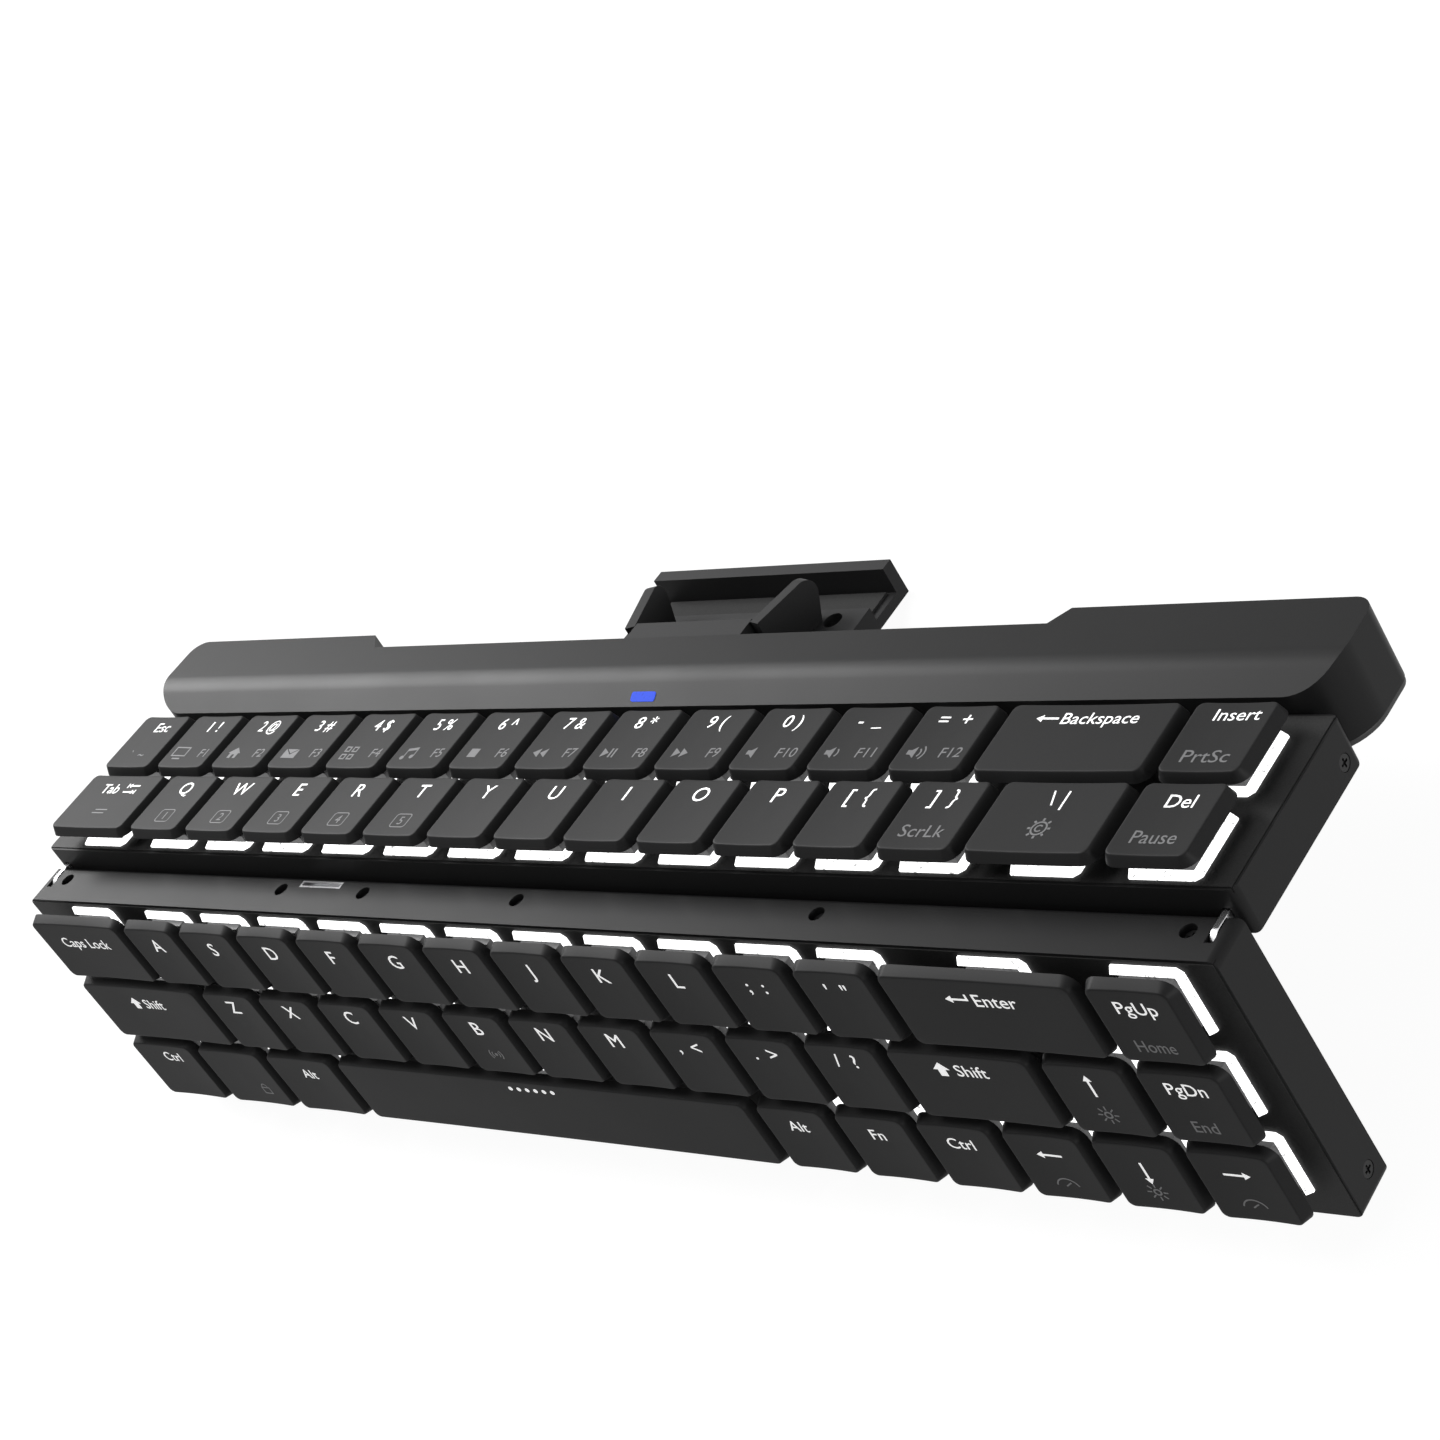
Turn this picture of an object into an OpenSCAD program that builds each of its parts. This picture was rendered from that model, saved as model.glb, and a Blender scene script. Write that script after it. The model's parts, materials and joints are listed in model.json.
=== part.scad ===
// Folding mechanical keyboard, half folded so that it stands like a tent on its two long edges.
// Upper deck: key rows 1 and 2 and the status bar. Lower deck: key rows 3 to 5.
// Each deck is drawn lying flat in its own frame: X along the rows from the left edge of the key grid,
// Y towards the status bar with 0 where the two decks' key rows meet, Z out of the keys with 0 at their
// tops.

/* [Key grid] */
// Distance between the centres of neighbouring keys
key_pitch = 19.05; // [16:0.05:23]
// Gap between the skirts of neighbouring keycaps
key_gap = 1; // [0.6:0.1:1.6]
// How far a key goes down
key_travel = 2.8; // [2:0.1:2.8]
// Height of the key tops over the key plate
key_rise = 6.3; // [6.3:0.1:8]

/* [Keycaps] */
// Height of a keycap from its skirt to its top
cap_height = 2.3; // [2:0.1:3]
// Lean of a keycap's left and right side
cap_lean_x = 1.225; // [0.6:0.025:2]
// Lean of a keycap's front and back side
cap_lean_y = 0.875; // [0.6:0.025:2]
// Width of the flat across each upright corner
cap_corner = 1; // [0.5:0.1:2]
// Thickness of a keycap's top
cap_top = 1.2; // [0.8:0.1:1.4]
// Thickness of a keycap's skirt at its edge
cap_wall = 1.4; // [1:0.1:2]
// Diameter of the wire under a wide key
wire_d = 1; // [0.8:0.1:1.2]

/* [Switches] */
// Side of the square hole for a switch
switch_hole = 14; // [13.5:0.1:14.5]
// Clearance round a switch in its hole
switch_fit = 0.1; // [0.05:0.01:0.2]
// Side of the narrower part of a switch above the plate
switch_top = 10.6; // [10:0.1:11]
// Height of a switch above the plate
switch_height = 1.9; // [1.5:0.1:2]
// Depth of a switch below the top of the plate
switch_depth = 3.1; // [2.9:0.1:3.5]
// Width of a key's stem along the row
stem_w = 7; // [6:0.1:8]
// Depth of a key's stem across the row
stem_d = 4.4; // [4:0.1:6]
// Gap round a stem in its switch
stem_gap = 0.3; // [0.2:0.05:0.4]
// Length of the two prongs that hold a keycap in its stem
prong_length = 2.4; // [1.8:0.1:2.6]
// Outer half size of the light frame round a switch
glow_half = 7.45; // [7.4:0.05:7.9]
// Width of a light frame's legs
glow_leg = 2.05; // [1.6:0.05:2.05]
// Thickness of a light frame
glow_height = 0.4; // [0.2:0.1:0.5]

/* [Decks] */
// Length of a deck beyond the key grid, at each end
deck_margin = 4.7; // [4:0.1:8]
// Thickness of a deck without its keys
deck_height = 10; // [9.5:0.1:14]
// Distance of a deck's hinge wall from the line between the decks
deck_lip = 0.6; // [0.5:0.05:0.8]
// Length of the upper deck beyond its key rows
upper_border = 2.6; // [2:0.1:5]
// Length of the lower deck beyond its key rows
lower_border = 3.15; // [1.5:0.05:5]
// Thickness of a deck's walls
deck_wall = 1.8; // [1.6:0.1:2.5]
// Thickness of a deck's floor
deck_floor = 1.5; // [1.2:0.1:2]
// Radius of a deck's upright corners
deck_corner = 1.8; // [1:0.1:3]
// Radius along the bottom edge at the hinge
hinge_edge_r = 1; // [1:0.1:1.5]
// Radius along the bottom edge away from the hinge, upper deck
upper_edge_r = 2; // [1:0.1:3]
// Radius along the bottom edge away from the hinge, lower deck
lower_edge_r = 1.5; // [1:0.1:3]
// Thickness of the key plate
plate_thickness = 1.2; // [1:0.1:1.5]
// Thickness of the rim round the key plate
plate_rim = 0.5; // [0.4:0.1:0.8]
// Depth of the rim's edge below the top of the plate
rim_drop = 0.2; // [0.1:0.1:0.4]
// Thickness of a circuit board
board_thickness = 1.2; // [0.8:0.1:1.6]
// Gap round plates and boards
board_fit = 0.1; // [0.05:0.05:0.2]

/* [Hinge] */
// Angle between the two decks in this pose, where 0 is lying flat
fold_angle = 91.17; // [60:0.01:120]
// Distance of each hinge pin from the line between the decks
pin_inset = 3.2; // [3.2:0.1:4]
// Diameter of a hinge pin
pin_d = 2; // [1.5:0.1:2.4]
// Clearance round a pin in its link
pin_gap = 0.05; // [0.02:0.01:0.1]
// Half width of a link
link_half = 2.8; // [2.6:0.1:3.2]
// Thickness of a link
link_thickness = 1.3; // [1:0.1:2]
// Distance of a link from the end of the deck
link_inset = 2.6; // [2.4:0.1:4]
// Clearance on each side of a link in its slot
link_gap = 0.2; // [0.1:0.05:0.3]
// Clearance past the end of a link in its slot
link_end_gap = 0.3; // [0.2:0.05:0.5]

/* [Screws and feet] */
// Head diameter of the screws in the decks' ends
end_screw_head = 3; // [2.5:0.1:3.4]
// Distance of the upper deck's end screws from its far wall
upper_screw_inset = 4.3; // [4:0.1:6]
// Height of the upper deck's end screws over its underside
upper_screw_height = 3.2; // [3.2:0.1:4]
// Distance of the lower deck's end screws from its far wall
lower_screw_inset = 5.1; // [3.8:0.1:6]
// Height of the lower deck's end screws over its underside
lower_screw_height = 3.9; // [3.2:0.1:4]
// Head diameter of the screws in the hinge wall
wall_screw_head = 3; // [1.8:0.1:3.2]
// Height of the screws in the hinge wall over the underside
wall_screw_height = 3.6; // [3.4:0.1:4]
// Width of the grommet in the hinge wall
grommet_w = 12.8; // [10:0.1:16]
// Height of the grommet in the hinge wall
grommet_h = 1.8; // [1.6:0.1:2]
// Diameter of a rubber foot
foot_d = 8; // [6:0.5:10]
// Height of a rubber foot below the case
foot_proud = 0.2; // [0.1:0.05:0.25]

/* [Status bar] */
// Gap between the upper deck and the bar
bar_gap = 0.3; // [0.1:0.05:0.5]
// Distance of the bar's left end from the left end of the decks
bar_inset = 0.8; // [0:0.1:2]
// Depth of the bar across the rows
bar_depth = 20.7; // [20:0.1:26]
// Height of the bar's flat top over the key tops
bar_rise = 0.3; // [0:0.1:1]
// Depth of the sloping front of the bar
bar_slope_depth = 6.5; // [5:0.1:7]
// Height of the sloping front of the bar
bar_slope_height = 3.3; // [2:0.1:4]
// Radius along the crease where the slope meets the flat top
crease_r = 10; // [4:1:14]
// Thickness of the bar's walls
bar_wall = 1.8; // [1.6:0.1:2.2]
// Radius of the bar's front corners, seen from above
bar_front_r = 10; // [6:0.5:12]
// Radius of the bar's rear corners, seen from above
bar_rear_r = 4; // [3:0.5:6]
// Thickness of the bar's bottom cover
cover_thickness = 1.2; // [1:0.1:1.5]
// Width of the status lens
lens_w = 6.4; // [4:0.1:8]
// Height of the status lens along the slope
lens_h = 2; // [1.4:0.1:3]
// Shift of the status lens from the middle
lens_shift = 0.5; // [-20:0.5:20]

/* [Phone holder] */
// Length of the recess in the rear of the bar, at its floor
recess_length = 182.2; // [150:0.2:190]
// Depth of the recess
recess_depth = 4; // [3:0.1:4]
// Length of each slanted end of the recess
recess_slant = 3.3; // [2:0.1:8]
// Shift of the recess from the middle
recess_shift = 0.5; // [-2:0.1:2]
// Shift of the holder from the middle
holder_shift = -0.6; // [-2:0.1:2]
// Length of the holder's tray along the bar
tray_w = 63; // [56:0.5:76]
// Distance of the tray's far edge from the bar's rear face
tray_reach = 26.8; // [25:0.1:32]
// Thickness of the tray
tray_thickness = 5.2; // [4.4:0.1:5.4]
// Width of the phone groove
groove_w = 8; // [6:0.1:9]
// Depth of the phone groove
groove_depth = 3; // [2:0.1:3]
// Thickness of the lip behind the groove
lip_thickness = 3; // [2:0.1:4]
// Height of the lip over the tray
lip_height = 3; // [2:0.1:5]
// Distance between the fins at their roots
fin_spacing = 34; // [30:0.5:40]
// Thickness of a fin
fin_thickness = 2.5; // [2:0.1:3]
// Length of a fin
fin_length = 15; // [12:0.1:15]
// Height of a fin over the tray
fin_height = 9.6; // [7:0.1:10]
// Angle that the fins spread at
fin_splay = 15; // [0:1:17]
// How far a fin's tip overhangs its root at the rear
fin_overhang = 2.8; // [1:0.1:4]
// Diameter of the round hole beside each fin
side_hole_d = 4.2; // [3:0.1:5]

/* [Hidden] */
$fn = 64;
eps = 0.01;
upper_rows = [
    [["esc_key", 1, 1], ["digit_keys", 1, 12], ["backspace_key", 2, 1], ["insert_key", 1, 1]],
    [["tab_key", 1.5, 1], ["qwerty_keys", 1, 12], ["backslash_key", 1.5, 1], ["delete_key", 1, 1]],
];
lower_rows = [
    [["caps_key", 1.75, 1], ["home_keys", 1, 11], ["enter_key", 2.25, 1], ["page_up_key", 1, 1]],
    [["left_shift_key", 2.25, 1], ["bottom_keys", 1, 10], ["right_shift_key", 1.75, 1], ["up_key", 1, 1],
        ["page_down_key", 1, 1]],
    [["left_ctrl_key", 1.25, 1], ["super_key", 1.25, 1], ["left_alt_key", 1.25, 1], ["space_bar", 6.25, 1],
        ["right_alt_key", 1, 1], ["fn_key", 1, 1], ["right_ctrl_key", 1, 1], ["left_key", 1, 1],
        ["down_key", 1, 1], ["right_key", 1, 1]],
];
row_units = 16;
wide_key = 2;
cap_seat = 0.05;
prong = [1, 2.6];
prong_gap = 0.05;
prong_place = 0.3;
stem_overlap = 0.8;

grid_w = row_units * key_pitch;
middle = grid_w / 2;
deck_x0 = -deck_margin;
deck_x1 = grid_w + deck_margin;
plate_top = -key_rise;
plate_bottom = plate_top - plate_thickness;
deck_bottom = plate_top - deck_height;
floor_top = deck_bottom + deck_floor;
upper_far = len(upper_rows) * key_pitch + upper_border;
lower_far = len(lower_rows) * key_pitch + lower_border;
switch_bottom = plate_top - switch_depth;
board_bottom = switch_bottom - board_thickness;

// Wire under a wide key, and the clips that hold it.
wire_y = 6.6;
wire_z = -cap_top - 0.75;
wire_gap = 0.05;
wire_end = 2;
clip_w = 2;
clip_half = 0.9;
clip_inset = 4;

// Hinge: the upper pin lies at +pin_inset and the lower one at -pin_inset, at the same height.
pin_z = deck_bottom + link_half;
slot_x0 = deck_x0 + link_inset - link_gap;
slot_x1 = slot_x0 + link_thickness + 2 * link_gap;
pin_grip = 2.4;
pin_block = slot_x1 + pin_grip;
slot_reach = pin_inset + link_half + link_end_gap;
pin_block_y = slot_reach + 1.8;
slot_top = pin_z + link_half + link_end_gap;
pin_press = 0.02;
pin_end_wall = 0.7;

// Status bar, seen from its end, and the profile of its inside.
bar_x0 = deck_x0 + bar_inset;
bar_y0 = upper_far + bar_gap;
bar_y1 = bar_y0 + bar_depth;
bar_top = bar_rise;
bar_base = deck_bottom + cover_thickness;
bar_angle = atan2(bar_slope_height, bar_slope_depth);
crease = [bar_y0 + bar_slope_depth, bar_top];
crease_reach = crease_r * tan(bar_angle / 2);
crease_centre = [crease[0] + crease_reach, bar_top - crease_r];
lens_y = 1.85;
lens_r = 0.5;
bar_inner_nose = bar_top - bar_slope_height + bar_wall * tan(bar_angle) - bar_wall / cos(bar_angle);
bar_inner_crease = bar_y0 + bar_slope_depth + bar_wall * tan(bar_angle / 2);
recess_x0 = middle + recess_shift - recess_length / 2;
recess_x1 = recess_x0 + recess_length;
recess_y = bar_y1 - recess_depth;

// T-shaped groove in the floor of the recess, and the tongue that slides in it.
rail_top = bar_base + 4.9;
rail_depth = 4.9;
rail_z = bar_base + 2.1;
neck_length = 1.5;
neck_half = 0.8;
head_half = 1.6;
head_length = 2;
tongue_gap = 0.15;
tray_top = rail_z + 2.2;
tray_y0 = recess_y + 0.2;
tray_y1 = bar_y1 + tray_reach;
tray_bottom = tray_top - tray_thickness;
tray_x0 = middle + holder_shift - tray_w / 2;
fin_y = bar_y1 + 1.1;
fin_tip_r = 3;
groove_y0 = tray_y1 - lip_thickness - groove_w;
side_hole_x = 24;
side_hole_y = groove_y0 - side_hole_d / 2 - 1.2;

// Battery cells, controller board and charge port inside the bar.
battery_y0 = bar_y0 + 3.4;
battery_top = bar_inner_nose - 0.4;
battery_inset = 8;
board_y0 = bar_y0 + 3;
board_y1 = recess_y - 2.2;
board_z1 = rail_top + 2;
board_z0 = board_z1 - 1;
board_w = 76;
board_room = 6;
board_post_x = [middle - 30, middle, middle + 30];
chip = [8, 6, 1.2];
port_w = 8.94;
port_h = 3.26;
port_gap = 0.08;
port_wall = 0.3;
port_x0 = bar_x0 + 0.2;
port_x1 = bar_x0 + 7.5;
port_y = bar_y0 + 10.5;
port_z = deck_bottom + 8;
shelf_half = 4.7;
lens_gap = 0.05;

// Screw places along the rows, from the left edge of the key grid.
grommet_x = 4.66 * key_pitch;
grommet_z = deck_bottom + 0.9;
grommet_wall = [0.6, 0.45];
wall_screw_x = [3.3, grommet_x - 11.2, grommet_x + 14.4, middle - 4.5, middle + 71.4, grid_w - 3.4];
wall_screw_y = deck_lip + 1.4;
bar_screw_x = [middle - 118, middle - 50, middle + 50, middle + 118];
bar_screw_z = floor_top + 2;
shank_gap = 0.05;
head_gap = 0.1;
end_shank_d = 1.6;
end_shank_length = 4;
end_head_h = 0.8;
end_head_x = 0.9;
end_boss = [2.4, 2.2];
wall_shank_d = 1.2;
wall_shank_length = 2.6;
wall_head_h = 0.6;
wall_boss = [2.4, 5.4];
bar_shank_d = 1.6;
bar_shank_length = 6.6;
bar_head_d = 3;
bar_head_h = 1;
bar_boss = [2.5, 6.2];

// Places of the feet and of the posts under the boards, from the deck's ends, hinge wall and far wall.
foot_x = 22;
foot_y = [14, 8];
post_keys = [2, 5, 8, 11, 14];
post_y = [12, 9];
post_d = 4;

// Standing pose. The decks' frames meet at the fold, then the whole is tilted until the far edge of the
// phone holder's tray and the rounded far edge of the lower deck are level, and it is set on the ground.
function turn(v, a) = [v[0] * cos(a) - v[1] * sin(a), v[0] * sin(a) + v[1] * cos(a)];
lower_at = [-pin_inset, pin_z] - turn([-pin_inset, pin_z], fold_angle);
function from_lower(v) = turn(v, fold_angle) + lower_at;
edge_centre = from_lower([lower_edge_r - lower_far, deck_bottom + lower_edge_r]);
foot_line = edge_centre - [tray_y1, tray_bottom];
tilt = -acos(lower_edge_r / norm(foot_line)) - atan2(foot_line[0], foot_line[1]);
function tilted(v) = turn(v, -tilt);
front_cap_edge = [cap_lean_y + key_gap / 2 - len(lower_rows) * key_pitch, 0];
front_y = tilted(from_lower(front_cap_edge))[0];
rear_y = tilted([tray_y1, tray_top + lip_height])[0];
ground_z = tilted([tray_y1, tray_bottom])[1];

// ---------- poses ----------

module stand() {
    translate([-middle, -(front_y + rear_y) / 2, -ground_z]) rotate([-tilt, 0, 0]) children();
}

module on_upper() {
    stand() children();
}

module on_lower() {
    stand() translate([0, lower_at[0], lower_at[1]]) rotate([fold_angle, 0, 0]) children();
}

// The lower deck's case parts are drawn like the upper deck's, away from the hinge towards +Y.
module mirrored_lower() {
    on_lower() mirror([0, 1, 0]) children();
}

// ---------- shared shapes ----------

module box(x, y, z) {
    translate([x[0], y[0], z[0]]) cube([x[1] - x[0], y[1] - y[0], z[1] - z[0]]);
}

// A profile drawn in Y and Z, run along X.
module along_x(x0, x1) {
    translate([x0, 0, 0]) rotate([90, 0, 90]) linear_extrude(x1 - x0) children();
}

module rod_x(x, y, z, d) {
    translate([x[0], y, z]) rotate([0, 90, 0]) cylinder(d = d, h = x[1] - x[0]);
}

module rod_y(x, y, z, d) {
    translate([x, y[0], z]) rotate([-90, 0, 0]) cylinder(d = d, h = y[1] - y[0]);
}

// Rectangle with one radius for its two front corners and another for its two rear ones.
module rounded_plan(x, y, front_r, rear_r) {
    translate([x[0] + front_r, y[0] + front_r]) circle(front_r);
    translate([x[1] - front_r, y[0] + front_r]) circle(front_r);
    translate([x[0] + rear_r, y[1] - rear_r]) circle(rear_r);
    translate([x[1] - rear_r, y[1] - rear_r]) circle(rear_r);
    translate([x[0], y[0] + front_r]) square([x[1] - x[0], y[1] - y[0] - front_r - rear_r]);
    translate([x[0] + front_r, y[0]]) square([x[1] - x[0] - 2 * front_r, front_r]);
    translate([x[0] + rear_r, y[1] - rear_r]) square([x[1] - x[0] - 2 * rear_r, rear_r]);
}

module stadium(w, h) {
    translate([-(w - h) / 2, 0]) circle(d = h);
    translate([(w - h) / 2, 0]) circle(d = h);
    translate([-(w - h) / 2, -h / 2]) square([w - h, h]);
}

// Cross-recess screw, its head's face at the origin and its shank running along -Z.
module cross_screw(head_d, head_h, shank_d, shank_length) {
    slot = [head_d * 0.62, head_d * 0.16, head_h];
    difference() {
        union() {
            translate([0, 0, -head_h]) cylinder(d = head_d, h = head_h);
            translate([0, 0, -head_h - shank_length]) cylinder(d = shank_d, h = shank_length + eps);
        }
        translate([-slot[0] / 2, -slot[1] / 2, -head_h / 2]) cube(slot);
        translate([-slot[1] / 2, -slot[0] / 2, -head_h / 2]) cube([slot[1], slot[0], slot[2]]);
    }
}

// ---------- keys ----------

function group_start(row, n) = n == 0 ? 0 : group_start(row, n - 1) + row[n - 1][1] * row[n - 1][2];
function key_centres(row) = [
    for (n = [0:len(row) - 1]) for (k = [0:row[n][2] - 1])
        (group_start(row, n) + (k + 0.5) * row[n][1]) * key_pitch
];

// Centre of a row: above the fold on the upper deck (side 1), below it on the lower one (side -1).
function row_y(rows, r, side) = side > 0 ? (len(rows) - r - 0.5) * key_pitch : -(r + 0.5) * key_pitch;

module cut_corners(w, d, cut) {
    x = [w / 2, w / 2 - cut];
    y = [d / 2, d / 2 - cut];
    polygon([[-x[0], -y[1]], [-x[1], -y[0]], [x[1], -y[0]], [x[0], -y[1]],
        [x[0], y[1]], [x[1], y[0]], [-x[1], y[0]], [-x[0], y[1]]]);
}

module keycap(units) {
    w = units * key_pitch - key_gap;
    d = key_pitch - key_gap;
    difference() {
        intersection() {
            along_x(-w / 2, w / 2)
                polygon([[-d / 2, -cap_height], [d / 2, -cap_height], [d / 2 - cap_lean_y, 0],
                    [cap_lean_y - d / 2, 0]]);
            translate([0, d / 2, 0]) rotate([90, 0, 0]) linear_extrude(d)
                polygon([[-w / 2, -cap_height], [w / 2, -cap_height], [w / 2 - cap_lean_x, 0],
                    [cap_lean_x - w / 2, 0]]);
            translate([0, 0, -cap_height]) linear_extrude(cap_height) cut_corners(w, d, cap_corner);
        }
        box([cap_wall - w / 2, w / 2 - cap_wall], [cap_wall - d / 2, d / 2 - cap_wall],
            [-cap_height - eps, -cap_top]);
    }
    at_prongs() translate([-prong[0] / 2, -prong[1] / 2, -cap_top - prong_length])
        cube([prong[0], prong[1], prong_length + eps]);
    if (units >= wide_key) wire_clips(w);
}

// Two clips under a wide cap, bored for its wire.
module wire_clips(w) {
    for (x = [clip_inset - w / 2, w / 2 - clip_inset]) difference() {
        box([x - clip_w / 2, x + clip_w / 2], [wire_y - clip_half, wire_y + clip_half],
            [wire_z - clip_half, -cap_top + eps]);
        rod_x([x - clip_w, x + clip_w], wire_y, wire_z, wire_d + 2 * wire_gap);
    }
}

// The two places where a cap's prongs go into its stem.
module at_prongs() {
    for (s = [-1, 1]) translate([s * stem_w * prong_place, 0, 0]) children();
}

module key_stem() {
    slot = [prong[0] + 2 * prong_gap, prong[1] + 2 * prong_gap, prong_length + 0.2];
    stem_top = -cap_top - cap_seat;
    stem_bottom = plate_top + switch_height - stem_overlap;
    difference() {
        box([-stem_w / 2, stem_w / 2], [-stem_d / 2, stem_d / 2], [stem_bottom, stem_top]);
        at_prongs() translate([-slot[0] / 2, -slot[1] / 2, stem_top - slot[2]])
            cube([slot[0], slot[1], slot[2] + eps]);
    }
}

// One group of a row: its caps, their stems, and a wire under each wide key.
module key_group(rows, r, n, side) {
    group = rows[r][n];
    units = group[1];
    w = units * key_pitch - key_gap;
    color([0.16, 0.16, 0.17]) for (k = [0:group[2] - 1]) {
        translate([(group_start(rows[r], n) + (k + 0.5) * units) * key_pitch, row_y(rows, r, side), 0]) {
            keycap(units);
            key_stem();
            if (units >= wide_key) rod_x([wire_end - w / 2, w / 2 - wire_end], wire_y, wire_z, wire_d);
        }
    }
}

module upper_keys(r, n) {
    on_upper() key_group(upper_rows, r, n, 1);
}

module lower_keys(r, n) {
    on_lower() key_group(lower_rows, r, n, -1);
}

module at_keys(rows, side) {
    for (r = [0:len(rows) - 1]) for (x = key_centres(rows[r])) {
        translate([x, row_y(rows, r, side), 0]) children();
    }
}

// ---------- switches and light frames ----------

module switch_housing() {
    side = switch_hole - 2 * switch_fit;
    well = [stem_w + 2 * stem_gap, stem_d + 2 * stem_gap];
    well_bottom = plate_top + switch_height - stem_overlap - key_travel - 0.2;
    difference() {
        union() {
            box([-side / 2, side / 2], [-side / 2, side / 2], [switch_bottom, plate_top]);
            box([-switch_top / 2, switch_top / 2], [-switch_top / 2, switch_top / 2],
                [plate_top - eps, plate_top + switch_height]);
        }
        box([-well[0] / 2, well[0] / 2], [-well[1] / 2, well[1] / 2],
            [well_bottom, plate_top + switch_height + 1]);
    }
}

// L-shaped light frame with its legs on the front and the right.
module light_frame() {
    h = glow_half;
    i = glow_half - glow_leg;
    translate([0, 0, plate_top]) linear_extrude(glow_height)
        polygon([[-6.2, -h], [h - 1, -h], [h, 1 - h], [h, h - 0.9], [i, h + 0.2], [i, -i], [-7.2, -i]]);
}

// ---------- deck parts, drawn away from the hinge towards +Y ----------

module deck_case(far, far_r, screw_inset, screw_height, wall_holes) {
    difference() {
        union() {
            difference() {
                deck_block(far, far_r);
                box([deck_x0 + deck_wall, deck_x1 - deck_wall], [deck_lip + deck_wall, far - deck_wall],
                    [floor_top, plate_top + 1]);
            }
            intersection() {
                deck_block(far, far_r);
                deck_inner_blocks(far, screw_inset, screw_height, wall_holes);
            }
            deck_posts(far);
        }
        box([deck_x0 + plate_rim, deck_x1 - plate_rim], [deck_lip + plate_rim, far - plate_rim],
            [plate_bottom, plate_top + 1]);
        box([deck_x0 - 1, deck_x1 + 1], [deck_lip - 1, far + 1], [plate_top - rim_drop, plate_top + 1]);
        for (x = [slot_x0, grid_w - slot_x1]) {
            box([x, x + slot_x1 - slot_x0], [deck_lip - 1, slot_reach], [deck_bottom - 1, slot_top]);
        }
        deck_pin_rods(pin_d + 2 * pin_press);
        at_ends() end_screw_hole(far - screw_inset, deck_bottom + screw_height);
        at_feet(far) translate([0, 0, deck_bottom - 1]) cylinder(d = foot_d + 0.1, h = 2);
        if (wall_holes) {
            for (x = wall_screw_x) wall_screw_hole(x);
            box([grommet_x - grommet_w / 2, grommet_x + grommet_w / 2], [deck_lip - 1, deck_lip + deck_wall],
                [grommet_z, grommet_z + grommet_h]);
        } else {
            for (x = bar_screw_x) rod_y(x, [far - 5.6, far + 1], bar_screw_z, bar_shank_d + 2 * shank_gap);
        }
    }
}

// Outer form of a deck: its profile along the rows, with rounded upright corners.
module deck_block(far, far_r) {
    r = hinge_edge_r;
    intersection() {
        along_x(deck_x0, deck_x1) {
            translate([deck_lip + r, deck_bottom + r]) circle(r);
            translate([far - far_r, deck_bottom + far_r]) circle(far_r);
            translate([deck_lip + r, deck_bottom]) square([far - deck_lip - r - far_r, deck_height]);
            translate([deck_lip, deck_bottom + r]) square([r + eps, deck_height - r]);
            translate([far - far_r - eps, deck_bottom + far_r]) square([far_r + eps, deck_height - far_r]);
        }
        translate([0, 0, deck_bottom]) linear_extrude(deck_height)
            rounded_plan([deck_x0, deck_x1], [deck_lip, far], deck_corner, deck_corner);
    }
}

// Solid corners that carry the hinge pins, and bosses behind the screws.
module deck_inner_blocks(far, screw_inset, screw_height, wall_holes) {
    for (x = [[deck_x0, pin_block], [grid_w - pin_block, deck_x1]]) {
        box(x, [deck_lip, pin_block_y], [deck_bottom, slot_top + 0.8]);
        box(x, [far - screw_inset - end_boss[0], far],
            [deck_bottom, deck_bottom + screw_height + end_boss[1]]);
    }
    boss_top = board_bottom - 0.2;
    if (wall_holes) {
        for (x = wall_screw_x) {
            box([x - wall_boss[0], x + wall_boss[0]], [deck_lip, deck_lip + wall_boss[1]],
                [deck_bottom, boss_top]);
        }
    } else {
        for (x = bar_screw_x) {
            box([x - bar_boss[0], x + bar_boss[0]], [far - bar_boss[1], far],
                [deck_bottom, boss_top]);
        }
    }
}

// Posts that carry the circuit board.
module deck_posts(far) {
    for (n = post_keys) for (y = [post_y[0], far - post_y[1]]) {
        translate([n * key_pitch, y, floor_top - eps])
            cylinder(d = post_d, h = board_bottom - floor_top + eps);
    }
}

// The hinge pins, or the bores that they are pressed into.
module deck_pin_rods(d) {
    at_ends() rod_x([deck_x0 + pin_end_wall, pin_block - 0.5], pin_inset, pin_z, d);
}

module at_ends() {
    children();
    translate([grid_w, 0, 0]) mirror([1, 0, 0]) children();
}

module end_screw_hole(y, z) {
    rod_x([deck_x0 - 1, deck_x0 + end_head_x], y, z, end_screw_head + 2 * head_gap);
    rod_x([deck_x0, deck_x0 + end_head_x + end_shank_length + 0.5], y, z, end_shank_d + 2 * shank_gap);
}

module wall_screw_hole(x) {
    z = deck_bottom + wall_screw_height;
    head_y = wall_screw_y + wall_head_h;
    rod_y(x, [deck_lip - 1, head_y], z, wall_screw_head + 2 * head_gap);
    rod_y(x, [deck_lip, head_y + wall_shank_length + 0.3], z, wall_shank_d + 2 * shank_gap);
}

module deck_end_screws(y, z) {
    at_ends() translate([deck_x0 + end_head_x - end_head_h, y, z]) rotate([0, -90, 0])
        cross_screw(end_screw_head, end_head_h, end_shank_d, end_shank_length);
}

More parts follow.
